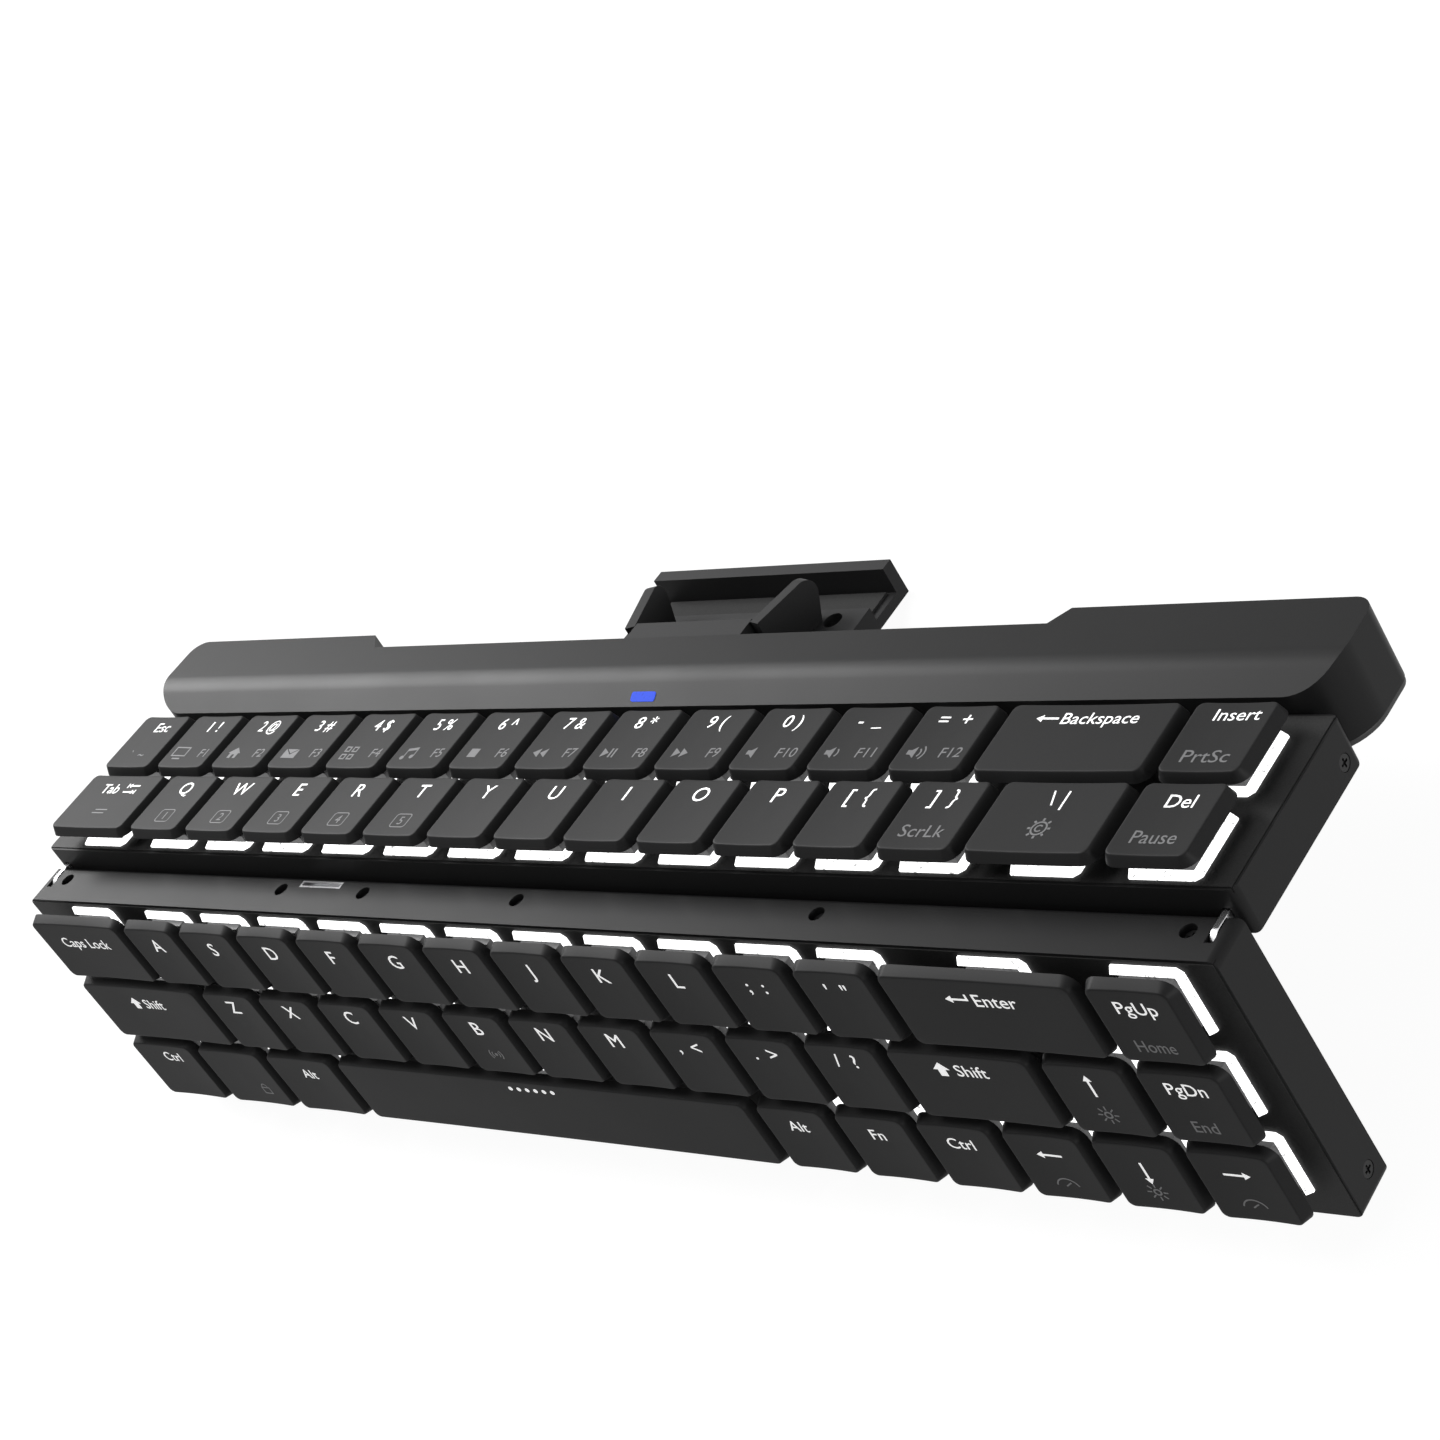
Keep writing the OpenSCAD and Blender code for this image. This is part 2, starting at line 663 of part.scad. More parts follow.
module deck_plate(far, rows, side) {
    inset = plate_rim + board_fit;
    difference() {
        box([deck_x0 + inset, deck_x1 - inset], [deck_lip + inset, far - inset], [plate_bottom, plate_top]);
        mirror([0, side > 0 ? 0 : 1, 0]) at_keys(rows, side) translate([0, 0, plate_bottom - 1])
            linear_extrude(plate_thickness + 2) square(switch_hole, center = true);
    }
}

module deck_board(far) {
    box([pin_block + board_fit, grid_w - pin_block - board_fit],
        [deck_lip + deck_wall + 2 * board_fit, far - deck_wall - 2 * board_fit],
        [board_bottom, switch_bottom]);
}

module at_feet(far) {
    for (x = [foot_x, grid_w - foot_x]) for (y = [foot_y[0], far - foot_y[1]]) {
        translate([x, y, 0]) children();
    }
}

module deck_feet(far) {
    at_feet(far) translate([0, 0, deck_bottom - foot_proud]) cylinder(d = foot_d, h = foot_proud + 1);
}

// ---------- upper deck ----------

module upper_case() {
    color([0.13, 0.13, 0.14]) on_upper()
        deck_case(upper_far, upper_edge_r, upper_screw_inset, upper_screw_height, false);
}

module upper_plate() {
    color([0.1, 0.1, 0.11]) on_upper() deck_plate(upper_far, upper_rows, 1);
}

module upper_board() {
    color([0.08, 0.2, 0.12]) on_upper() deck_board(upper_far);
}

module upper_switches() {
    color([0.2, 0.2, 0.22]) on_upper() at_keys(upper_rows, 1) switch_housing();
}

module upper_light_frames() {
    color([0.95, 0.96, 1]) on_upper() at_keys(upper_rows, 1) light_frame();
}

module upper_feet() {
    color([0.08, 0.08, 0.08]) on_upper() deck_feet(upper_far);
}

module upper_end_screws() {
    color([0.3, 0.3, 0.31]) on_upper()
        deck_end_screws(upper_far - upper_screw_inset, deck_bottom + upper_screw_height);
}

module upper_hinge_pins() {
    color([0.7, 0.7, 0.72]) on_upper() deck_pin_rods(pin_d);
}

// ---------- status bar ----------

// Profile of the bar's top: the slope and the flat top, with a round crease between them.
module bar_crown() {
    below = [bar_depth, bar_top - bar_base];
    translate(crease_centre) {
        circle(crease_r);
        translate([0, crease_r - below[1] - 1]) square([below[0], below[1] + 1]);
        rotate(bar_angle) translate([-below[0], crease_r - 2 * below[1]]) square([below[0], 2 * below[1]]);
    }
}

// Profile of the bar's inside, open at the bottom.
module bar_inner_section() {
    polygon([[bar_y0 + bar_wall, bar_base - 1], [bar_y0 + bar_wall, bar_inner_nose],
        [bar_inner_crease, bar_top - bar_wall], [bar_y1 - bar_wall, bar_top - bar_wall],
        [bar_y1 - bar_wall, bar_base - 1]]);
}

module bar_plan(inset) {
    rounded_plan([bar_x0 + inset, deck_x1 - inset], [bar_y0 + inset, bar_y1 - inset],
        bar_front_r - inset, bar_rear_r - inset);
}

// The recess seen from above, widened by grow when it is kept clear of the inside.
module recess_plan(grow) {
    polygon([[recess_x0 - recess_slant - grow, bar_y1], [recess_x0 - grow, recess_y - grow / 2],
        [recess_x1 + grow, recess_y - grow / 2], [recess_x1 + recess_slant + grow, bar_y1],
        [recess_x1 + recess_slant + grow, bar_y1 + 2], [recess_x0 - recess_slant - grow, bar_y1 + 2]]);
}

module upright(z0, z1) {
    translate([0, 0, z0]) linear_extrude(z1 - z0) children();
}

module bar_inside() {
    difference() {
        intersection() {
            along_x(bar_x0, deck_x1) bar_inner_section();
            upright(bar_base - 1, bar_top) bar_plan(bar_wall);
        }
        upright(bar_base - 2, bar_top + 1) recess_plan(2 * bar_wall);
        box([recess_x0 - 1.5, recess_x1 + 1.5], [recess_y - rail_depth, bar_y1], [bar_base - 2, rail_top]);
        box([bar_x0, port_x1], [port_y - shelf_half, port_y + shelf_half],
            [port_z - port_h / 2 - 1.2, port_z - port_h / 2]);
        for (x = board_post_x) translate([x, board_y1 - 4, board_z1])
            cylinder(d = 3, h = bar_top - board_z1);
    }
}

module bar_housing() {
    color([0.17, 0.17, 0.19]) on_upper() difference() {
        intersection() {
            along_x(bar_x0, deck_x1) bar_crown();
            upright(bar_base, bar_top + 1) bar_plan(0);
        }
        bar_inside();
        upright(bar_base - 1, bar_top + 1) recess_plan(0);
        box([recess_x0, recess_x1], [recess_y - neck_length, recess_y + 1],
            [rail_z - neck_half, rail_z + neck_half]);
        box([recess_x0, recess_x1], [recess_y - neck_length - head_length, recess_y - neck_length + eps],
            [rail_z - head_half, rail_z + head_half]);
        for (x = bar_screw_x) {
            rod_y(x, [bar_y0 - 1, bar_y0 + bar_wall + 1], bar_screw_z, bar_shank_d + 2 * shank_gap);
        }
        at_lens() translate([0, 0, -5]) linear_extrude(6) lens_plan(lens_gap);
        translate([bar_x0 - 1, port_y, port_z]) rotate([90, 0, 90]) linear_extrude(bar_wall + 3)
            stadium(port_w + 2 * port_gap, port_h + 2 * port_gap);
    }
}

module bar_cover() {
    color([0.12, 0.12, 0.13]) on_upper() difference() {
        upright(deck_bottom, bar_base) bar_plan(0.15);
        upright(deck_bottom - 1, bar_base + 1) recess_plan(0);
    }
}

module bar_screws() {
    color([0.3, 0.3, 0.31]) on_upper() for (x = bar_screw_x) {
        translate([x, bar_y0 + bar_wall + bar_head_h, bar_screw_z]) rotate([-90, 0, 0])
            cross_screw(bar_head_d, bar_head_h, bar_shank_d, bar_shank_length);
    }
}

module battery_cells() {
    free = board_w / 2 + board_room;
    color([0.55, 0.6, 0.65]) on_upper()
        for (x = [[battery_inset, middle - free], [middle + free, grid_w - battery_inset]]) {
            box(x, [battery_y0, recess_y - rail_depth - 0.4], [bar_base, battery_top]);
        }
}

module controller_board() {
    color([0.08, 0.2, 0.12]) on_upper() {
        box([middle - board_w / 2, middle + board_w / 2], [board_y0, board_y1], [board_z0, board_z1]);
        translate([middle - 20, board_y0 + 1, board_z0 - chip[2]]) cube([chip[0], chip[1], chip[2] + eps]);
    }
}

// Places a child on the sloping front of the bar, Z square out of the slope.
module at_lens() {
    translate([middle + lens_shift, bar_y0 + lens_y, bar_top - bar_slope_height + lens_y * tan(bar_angle)])
        rotate([bar_angle, 0, 0]) children();
}

module lens_plan(gap) {
    x = lens_w / 2 + gap;
    y = lens_h / 2 + gap;
    rounded_plan([-x, x], [-y, y], lens_r, lens_r);
}

module status_lens() {
    color([0.3, 0.4, 1]) on_upper() at_lens() translate([0, 0, -bar_wall]) linear_extrude(bar_wall + 0.15)
        lens_plan(0);
}

module charge_port() {
    color([0.75, 0.75, 0.77]) on_upper() translate([port_x0, port_y, port_z]) rotate([90, 0, 90]) {
        difference() {
            linear_extrude(port_x1 - port_x0) stadium(port_w, port_h);
            translate([0, 0, -1]) linear_extrude(7) stadium(port_w - 2 * port_wall, port_h - 2 * port_wall);
        }
        translate([-3.3, -0.35, 0.6]) cube([6.6, 0.7, 5.5]);
    }
}

// ---------- phone holder ----------

// A fin seen from its side: round at the tip, and cut back under it down to its root.
module fin() {
    root = [fin_length - fin_overhang, 0];
    tip = [fin_length - fin_tip_r, fin_height - fin_tip_r];
    reach = norm(tip - root);
    lean = atan2(tip[1], tip[0] - root[0]) - asin(fin_tip_r / reach);
    touch = root + sqrt(reach * reach - fin_tip_r * fin_tip_r) * [cos(lean), sin(lean)];
    rotate([90, 0, 90]) linear_extrude(fin_thickness) {
        polygon([[0, 0], root, touch, tip, [tip[0], fin_height], [0, fin_height]]);
        translate(tip) circle(fin_tip_r);
    }
}

module phone_cradle() {
    holder_x = middle + holder_shift;
    head = [head_half - tongue_gap, head_length - 2 * tongue_gap];
    color([0.15, 0.15, 0.16]) on_upper() {
        difference() {
            union() {
                box([tray_x0, tray_x0 + tray_w], [tray_y0, tray_y1], [tray_bottom, tray_top]);
                box([tray_x0, tray_x0 + tray_w], [tray_y1 - lip_thickness, tray_y1],
                    [tray_bottom, tray_top + lip_height]);
            }
            box([tray_x0 - 1, tray_x0 + tray_w + 1], [groove_y0, groove_y0 + groove_w],
                [tray_top - groove_depth, tray_top + eps]);
            for (s = [-1, 1]) translate([holder_x + s * side_hole_x, side_hole_y, tray_bottom - 1])
                cylinder(d = side_hole_d, h = tray_thickness + 2);
        }
        box([tray_x0, tray_x0 + tray_w], [recess_y - neck_length - tongue_gap - eps, tray_y0 + eps],
            [rail_z - neck_half + tongue_gap, rail_z + neck_half - tongue_gap]);
        box([tray_x0, tray_x0 + tray_w],
            [recess_y - neck_length - head_length + tongue_gap, recess_y - neck_length - tongue_gap],
            [rail_z - head[0], rail_z + head[0]]);
        box([holder_x - fin_spacing / 2 + fin_thickness / 2, holder_x + fin_spacing / 2 - fin_thickness / 2],
            [tray_y0, fin_y + 1.2], [tray_top - eps, tray_top + fin_height]);
        for (s = [-1, 1]) {
            translate([holder_x + s * fin_spacing / 2, fin_y, tray_top - eps])
                rotate([0, 0, -s * fin_splay]) translate([-fin_thickness / 2, 0, 0]) fin();
        }
    }
}

module cradle_pad() {
    color([0.07, 0.07, 0.07]) on_upper()
        box([tray_x0 + 2, tray_x0 + tray_w - 2], [groove_y0 + 0.5, groove_y0 + groove_w - 0.5],
            [tray_top - groove_depth, tray_top - groove_depth + 0.6]);
}

// ---------- hinge links ----------

module hinge_link(x0) {
    color([0.72, 0.72, 0.74]) on_upper() difference() {
        along_x(x0, x0 + link_thickness) translate([0, pin_z])
            stadium(2 * (pin_inset + link_half), 2 * link_half);
        for (y = [-pin_inset, pin_inset]) {
            rod_x([x0 - 1, x0 + link_thickness + 1], y, pin_z, pin_d + 2 * pin_gap);
        }
    }
}

module left_hinge_link() {
    hinge_link(deck_x0 + link_inset);
}

module right_hinge_link() {
    hinge_link(deck_x1 - link_inset - link_thickness);
}

// ---------- lower deck ----------

module lower_case() {
    color([0.13, 0.13, 0.14]) mirrored_lower()
        deck_case(lower_far, lower_edge_r, lower_screw_inset, lower_screw_height, true);
}

module lower_plate() {
    color([0.1, 0.1, 0.11]) mirrored_lower() deck_plate(lower_far, lower_rows, -1);
}

module lower_board() {
    color([0.08, 0.2, 0.12]) mirrored_lower() deck_board(lower_far);
}

module lower_switches() {
    color([0.2, 0.2, 0.22]) on_lower() at_keys(lower_rows, -1) switch_housing();
}

module lower_light_frames() {
    color([0.95, 0.96, 1]) on_lower() at_keys(lower_rows, -1) mirror([0, 1, 0]) light_frame();
}

module lower_feet() {
    color([0.08, 0.08, 0.08]) mirrored_lower() deck_feet(lower_far);
}

module lower_end_screws() {
    color([0.3, 0.3, 0.31]) mirrored_lower()
        deck_end_screws(lower_far - lower_screw_inset, deck_bottom + lower_screw_height);
}

module lower_hinge_pins() {
    color([0.7, 0.7, 0.72]) mirrored_lower() deck_pin_rods(pin_d);
}

module wall_screws() {
    color([0.35, 0.35, 0.36]) mirrored_lower() for (x = wall_screw_x) {
        translate([x, wall_screw_y, deck_bottom + wall_screw_height]) rotate([90, 0, 0])
            cross_screw(wall_screw_head, wall_head_h, wall_shank_d, wall_shank_length);
    }
}

module ribbon_grommet() {
    half = grommet_w / 2 - grommet_wall[0];
    color([0.5, 0.5, 0.52]) mirrored_lower() difference() {
        box([grommet_x - grommet_w / 2, grommet_x + grommet_w / 2], [deck_lip + 0.05, deck_lip + deck_wall],
            [grommet_z, grommet_z + grommet_h]);
        box([grommet_x - half, grommet_x + half], [deck_lip, deck_lip + 1.3],
            [grommet_z + grommet_wall[1], grommet_z + grommet_h - grommet_wall[1]]);
    }
}

upper_case();
upper_plate();
upper_board();
upper_switches();
upper_light_frames();
upper_feet();
upper_end_screws();
upper_hinge_pins();
bar_housing();
bar_cover();
bar_screws();
battery_cells();
controller_board();
status_lens();
charge_port();
phone_cradle();
cradle_pad();
left_hinge_link();
right_hinge_link();
lower_case();
lower_plate();
lower_board();
lower_switches();
lower_light_frames();
lower_feet();
lower_end_screws();
lower_hinge_pins();
wall_screws();
ribbon_grommet();
upper_keys(0, 0);  // esc_key
upper_keys(0, 1);  // digit_keys
upper_keys(0, 2);  // backspace_key
upper_keys(0, 3);  // insert_key
upper_keys(1, 0);  // tab_key
upper_keys(1, 1);  // qwerty_keys
upper_keys(1, 2);  // backslash_key
upper_keys(1, 3);  // delete_key
lower_keys(0, 0);  // caps_key
lower_keys(0, 1);  // home_keys
lower_keys(0, 2);  // enter_key
lower_keys(0, 3);  // page_up_key
lower_keys(1, 0);  // left_shift_key
lower_keys(1, 1);  // bottom_keys
lower_keys(1, 2);  // right_shift_key
lower_keys(1, 3);  // up_key
lower_keys(1, 4);  // page_down_key
lower_keys(2, 0);  // left_ctrl_key
lower_keys(2, 1);  // super_key
lower_keys(2, 2);  // left_alt_key
lower_keys(2, 3);  // space_bar
lower_keys(2, 4);  // right_alt_key
lower_keys(2, 5);  // fn_key
lower_keys(2, 6);  // right_ctrl_key
lower_keys(2, 7);  // left_key
lower_keys(2, 8);  // down_key
lower_keys(2, 9);  // right_key
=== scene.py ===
"""Looks of the folding keyboard: keycaps with their legends, materials, studio light and camera.
Lengths on the object are in millimetres in its deck's own frame: X along the rows, Y towards the status bar
and Z out of the keys, with 0 at their tops. The scene is in metres."""

import json
import math

import bmesh
import bpy
from mathutils import Matrix, Vector


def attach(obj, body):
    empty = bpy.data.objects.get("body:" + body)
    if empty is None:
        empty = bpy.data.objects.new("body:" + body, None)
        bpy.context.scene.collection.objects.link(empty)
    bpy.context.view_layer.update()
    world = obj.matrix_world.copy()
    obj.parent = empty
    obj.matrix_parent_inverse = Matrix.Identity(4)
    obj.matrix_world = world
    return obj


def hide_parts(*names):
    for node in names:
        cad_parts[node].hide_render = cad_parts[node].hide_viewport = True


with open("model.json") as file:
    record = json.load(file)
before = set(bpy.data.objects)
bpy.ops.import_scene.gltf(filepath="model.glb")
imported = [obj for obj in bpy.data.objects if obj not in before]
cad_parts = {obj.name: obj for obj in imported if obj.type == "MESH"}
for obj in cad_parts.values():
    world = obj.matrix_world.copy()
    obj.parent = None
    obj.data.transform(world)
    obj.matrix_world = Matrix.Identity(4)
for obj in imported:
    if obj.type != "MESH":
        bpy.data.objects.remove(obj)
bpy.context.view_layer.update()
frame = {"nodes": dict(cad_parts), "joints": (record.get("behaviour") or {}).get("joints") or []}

MM = 0.001
PITCH = 19.05
GAP = 1.0  # between neighbouring caps
MIDDLE = 8 * PITCH  # of the rows, along X
PIN_INSET = 3.2  # of each deck's hinge pins, from Y = 0
PIN_Z = -13.5

# ---------- deck frames ----------

joints = {joint["name"]: joint for joint in frame["joints"]}


def deck_matrix(fold, travel, pin_y):
    """The matrix from a deck's millimetres to the scene, from its fold joint and the way its keys move."""
    normal = -Vector(joints[travel]["axis"]).normalized()
    along = Vector((1, 0, 0))
    turn = Matrix((along, normal.cross(along), normal)).transposed()
    pivot = Vector(joints[fold]["pos_m"]) - turn @ Vector((MIDDLE, pin_y, PIN_Z)) * MM
    return Matrix.Translation(pivot) @ turn.to_4x4() @ Matrix.Scale(MM, 4)


UPPER = deck_matrix("link_fold", "esc_key_travel", PIN_INSET)
LOWER = deck_matrix("lower_fold", "caps_key_travel", -PIN_INSET)

# ---------- materials ----------

DRIFT_SCALE = 45.0
ROUGHNESS_DRIFT = 0.05


def node_of(tree, kind, **inputs):
    """A new node with values for its sockets, whose names are written here with _ for a space."""
    node = tree.nodes.new(kind)
    for name, value in inputs.items():
        node.inputs[name.replace("_", " ")].default_value = value
    return node


def blend_of(tree, low, high):
    """A node that goes from one colour to another with its factor."""
    node = tree.nodes.new("ShaderNodeMix")
    node.data_type = "RGBA"
    node.inputs["A"].default_value = [*low, 1]
    node.inputs["B"].default_value = [*high, 1]
    return node


def surface(name, colour, roughness, specular=0.5, metallic=0.0, grain=0.25, bump=0.02, spread=0.12,
            emission=None, strength=0.0, dim=0.8):
    """A material whose colour has slow drifts and a fine grain. Its roughness follows the drifts and its bump
    the grain. grain is the grain's size and bump its depth, in millimetres. spread is how far the colour goes
    each way, and dim how bright the dark spots of a light are."""
    material = bpy.data.materials.new(name)
    material.use_nodes = True
    tree = material.node_tree
    link = tree.links.new
    shader = tree.nodes["Principled BSDF"]
    shader.inputs["Specular IOR Level"].default_value = specular
    shader.inputs["Metallic"].default_value = metallic
    place = tree.nodes.new("ShaderNodeTexCoord")
    drift = node_of(tree, "ShaderNodeTexNoise", Scale=DRIFT_SCALE, Detail=3.0)
    fine = node_of(tree, "ShaderNodeTexNoise", Scale=1.0 / (grain * MM), Detail=2.0)
    for noise in (drift, fine):
        link(place.outputs["Object"], noise.inputs["Vector"])
    both = tree.nodes.new("ShaderNodeMath")
    both.operation = "ADD"
    link(drift.outputs["Fac"], both.inputs[0])
    link(fine.outputs["Fac"], both.inputs[1])
    shade = node_of(tree, "ShaderNodeMapRange", From_Min=0.6, From_Max=1.4)
    link(both.outputs[0], shade.inputs["Value"])
    tint = blend_of(tree, [c * (1 - spread) for c in colour], [min(1, c * (1 + spread)) for c in colour])
    link(shade.outputs["Result"], tint.inputs["Factor"])
    link(tint.outputs["Result"], shader.inputs["Base Color"])
    gloss = node_of(tree, "ShaderNodeMapRange", To_Min=roughness - ROUGHNESS_DRIFT,
                    To_Max=roughness + ROUGHNESS_DRIFT)
    link(drift.outputs["Fac"], gloss.inputs["Value"])
    link(gloss.outputs["Result"], shader.inputs["Roughness"])
    relief = node_of(tree, "ShaderNodeBump", Strength=1.0, Distance=bump * MM)
    link(fine.outputs["Fac"], relief.inputs["Height"])
    link(relief.outputs["Normal"], shader.inputs["Normal"])
    if emission:
        spots = node_of(tree, "ShaderNodeMapRange", From_Min=0.3, From_Max=0.42)
        link(fine.outputs["Fac"], spots.inputs["Value"])
        mottle = blend_of(tree, [dim * c for c in emission], emission)
        link(spots.outputs["Result"], mottle.inputs["Factor"])
        link(mottle.outputs["Result"], shader.inputs["Emission Color"])
        shader.inputs["Emission Strength"].default_value = strength
    return material


looks = {
    "keycap": surface("keycap", (0.015, 0.015, 0.0153), 0.5, 0.08, grain=0.3, bump=0.004),
    # the legends and sub-legends glow a little through emission: a painted brightness that keeps the print
    # light where little light falls on it
    "legend": surface("legend", (0.8, 0.8, 0.8), 0.5, 0.2, spread=0.03, emission=(1, 1, 1), strength=0.6),
    "sub_legend": surface("sub_legend", (0.13, 0.13, 0.134), 0.5, 0.2, spread=0.1,
                          emission=(1, 1, 1), strength=0.045),
    "stem": surface("stem", (0.02, 0.02, 0.02), 0.5, 0.3),
    "case": surface("case", (0.0103, 0.0103, 0.0105), 0.46, 0.1, grain=0.35, bump=0.006),
    "key_plate": surface("key_plate", (0.024, 0.024, 0.024), 0.5, 0.1, grain=0.25, bump=0.01, spread=0.4),
    "circuit_board": surface("circuit_board", (0.01, 0.035, 0.015), 0.4, 0.5, grain=1.5, bump=0.01,
                             spread=0.3),
    "switch": surface("switch", (0.015, 0.015, 0.016), 0.4, 0.4),
    "light_frame": surface("light_frame", (0.8, 0.8, 0.8), 0.3, 0.2, grain=0.7, spread=0.1,
                           emission=(1, 1, 1), strength=2.0, dim=0.2),
    "foot": surface("foot", (0.02, 0.02, 0.02), 0.85, 0.2, grain=0.4, bump=0.02, spread=0.25),
    "screw": surface("screw", (0.012, 0.012, 0.0122), 0.42, 0.2, grain=0.4, bump=0.003),
    "pin": surface("pin", (0.62, 0.62, 0.63), 0.28, 0.5, 1.0, grain=0.3, bump=0.002),
    "bar": surface("bar", (0.01, 0.01, 0.0102), 0.42, 0.1, grain=0.35, bump=0.006),
    "bar_cover": surface("bar_cover", (0.03, 0.03, 0.03), 0.5, 0.3, grain=0.35, bump=0.008),
    "battery": surface("battery", (0.35, 0.37, 0.4), 0.35, 0.5, 0.6, grain=1.2, bump=0.01),
    "lens": surface("lens", (0.004, 0.006, 0.05), 0.5, 0.02, grain=0.6, spread=0.1,
                    emission=(0.06, 0.125, 0.85), strength=1.0),
    "port": surface("port", (0.6, 0.6, 0.61), 0.3, 0.5, 1.0, grain=0.3, bump=0.002),
    "holder": surface("holder", (0.02, 0.02, 0.0205), 0.5, 0.1, grain=0.35, bump=0.006),
    "link": surface("link", (0.72, 0.72, 0.73), 0.22, 0.5, 1.0, grain=0.25, bump=0.003),
    "grommet": surface("grommet", (0.5, 0.5, 0.51), 0.3, 0.5, 1.0, grain=0.3, bump=0.002),
}

NODE_LOOKS = {
    "upper_case": "case", "lower_case": "case", "upper_plate": "key_plate", "lower_plate": "key_plate",
    "upper_board": "circuit_board", "lower_board": "circuit_board", "controller_board": "circuit_board",
    "upper_switches": "switch", "lower_switches": "switch", "upper_light_frames": "light_frame",
    "lower_light_frames": "light_frame", "upper_feet": "foot", "lower_feet": "foot", "cradle_pad": "foot",
    "upper_end_screws": "screw", "lower_end_screws": "screw", "bar_screws": "screw", "wall_screws": "screw",
    "upper_hinge_pins": "pin", "lower_hinge_pins": "pin", "bar_housing": "bar", "bar_cover": "bar_cover",
    "battery_cells": "battery", "status_lens": "lens", "charge_port": "port", "phone_cradle": "holder",
    "left_hinge_link": "link", "right_hinge_link": "link", "ribbon_grommet": "grommet",
}
# how wide the rounding of a node's edges is
EDGES = {"upper_case": 0.25, "lower_case": 0.25, "bar_housing": 0.3, "bar_cover": 0.3, "phone_cradle": 0.3,
         "left_hinge_link": 0.15, "right_hinge_link": 0.15}


def soften_edges(node, width):
    """Rounds a CAD node's sharp edges, so that they catch the light."""
    weld = node.modifiers.new("weld", "WELD")
    weld.merge_threshold = 0.002 * MM
    flatten = node.modifiers.new("flatten", "DECIMATE")
    flatten.decimate_type = "DISSOLVE"
    flatten.angle_limit = math.radians(0.5)
    bevel = node.modifiers.new("edges", "BEVEL")
    bevel.width = width * MM
    bevel.segments = 2
    bevel.angle_limit = math.radians(22)
    bevel.use_clamp_overlap = True
    node.modifiers.new("normals", "WEIGHTED_NORMAL")


for name, look in NODE_LOOKS.items():
    for slot in frame["nodes"][name].material_slots:
        slot.material = looks[look]
for name, width in EDGES.items():
    soften_edges(frame["nodes"][name], width)

# ---------- legends: outlines in millimetres, where a loop inside another is a hole ----------


def moved(loops, x, y):
    return [[(px + x, py + y) for px, py in loop] for loop in loops]


def turned(loops, degrees):
    c, s = math.cos(math.radians(degrees)), math.sin(math.radians(degrees))
    return [[(px * c - py * s, px * s + py * c) for px, py in loop] for loop in loops]


def arc_points(x, y, r, start, end, steps):
    angles = [math.radians(start + (end - start) * n / steps) for n in range(steps + 1)]
    return [(x + r * math.cos(a), y + r * math.sin(a)) for a in angles]


def disc(x, y, r):
    return [arc_points(x, y, r, 0, 360, 20)[:-1]]


def box(x0, x1, y0, y1):
    return [[(x0, y0), (x1, y0), (x1, y1), (x0, y1)]]


def round_box(hx, hy, r):
    corners = [(hx - r, hy - r, 0), (r - hx, hy - r, 90), (r - hx, r - hy, 180), (hx - r, r - hy, 270)]
    return [[point for x, y, start in corners for point in arc_points(x, y, r, start, start + 90, 5)]]


def box_line(x0, x1, y0, y1, line):
    return box(x0, x1, y0, y1) + box(x0 + line, x1 - line, y0 + line, y1 - line)


def stroke(points, line):
    """The outline of a line of even width along the points."""
    left, right = [], []
    for n, (x, y) in enumerate(points):
        before, after = points[max(0, n - 1)], points[min(len(points) - 1, n + 1)]
        dx, dy = after[0] - before[0], after[1] - before[1]
        side = line / 2 / math.hypot(dx, dy)
        left.append((x - dy * side, y + dx * side))
        right.append((x + dy * side, y - dx * side))
    return [left + right[::-1]]


def arrow(length, line=0.45, head=1.7):
    """An arrow to the left, centred."""
    x0, x1 = -length / 2, length / 2
    neck = x0 + head * 0.8
    return [[(x0, 0), (neck, head / 2), (neck, line / 2), (x1, line / 2), (x1, -line / 2), (neck, -line / 2),
             (neck, -head / 2)]]


def return_arrow():
    line = 0.42
    return [[(-2.4, 0), (-1, 0.85), (-1, line / 2), (2, line / 2), (2, 1.3), (2.4, 1.3), (2.4, -line / 2),
             (-1, -line / 2), (-1, -0.85)]]


def shift_arrow():
    return [[(0, 1.75), (-1.75, 0), (-0.8, 0), (-0.8, -1.6), (0.8, -1.6), (0.8, 0), (1.75, 0)]]


def tab_arrows():
    top = moved(arrow(4, 0.4, 1.3), 0.25, 0.95) + box(-2.1, -1.8, 0.3, 1.6)
    return top + turned(top, 180)


def two_lines():
    return box(-1.9, 2.3, 0.35, 0.65) + box(-2.3, 1.9, -0.65, -0.35)


def monitor():
    return box_line(-2.4, 2.4, -1, 1.9, 0.35) + box(-1.3, 1.3, -1.9, -1.5)


def house():
    return [[(0, 1.7), (-1.9, 0), (-1.3, 0), (-1.3, -1.5), (-0.4, -1.5), (-0.4, -0.4), (0.4, -0.4),
             (0.4, -1.5), (1.3, -1.5), (1.3, 0), (1.9, 0)]]


def envelope():
    flap = [[(-1.7, 1.15), (0, -0.1), (1.7, 1.15)]]
    body = [[(-2.1, 1.2), (0, -0.5), (2.1, 1.2), (2.1, -1.5), (-2.1, -1.5)]]
    return flap + body


def tiles():
    return [loop for x in (-1.9, 0.3) for y in (-1.9, 0.3) for loop in box_line(x, x + 1.6, y, y + 1.6, 0.35)]


def notes():
    heads = disc(-1.4, -1.4, 0.55) + disc(1.1, -1, 0.55)
    return heads + [[(-1.15, -0.85), (-1.15, 1.2), (1.7, 1.7), (1.7, -0.9), (1.45, -0.6), (1.45, 0.9),
                     (-0.9, 0.5), (-0.9, -0.95)]]


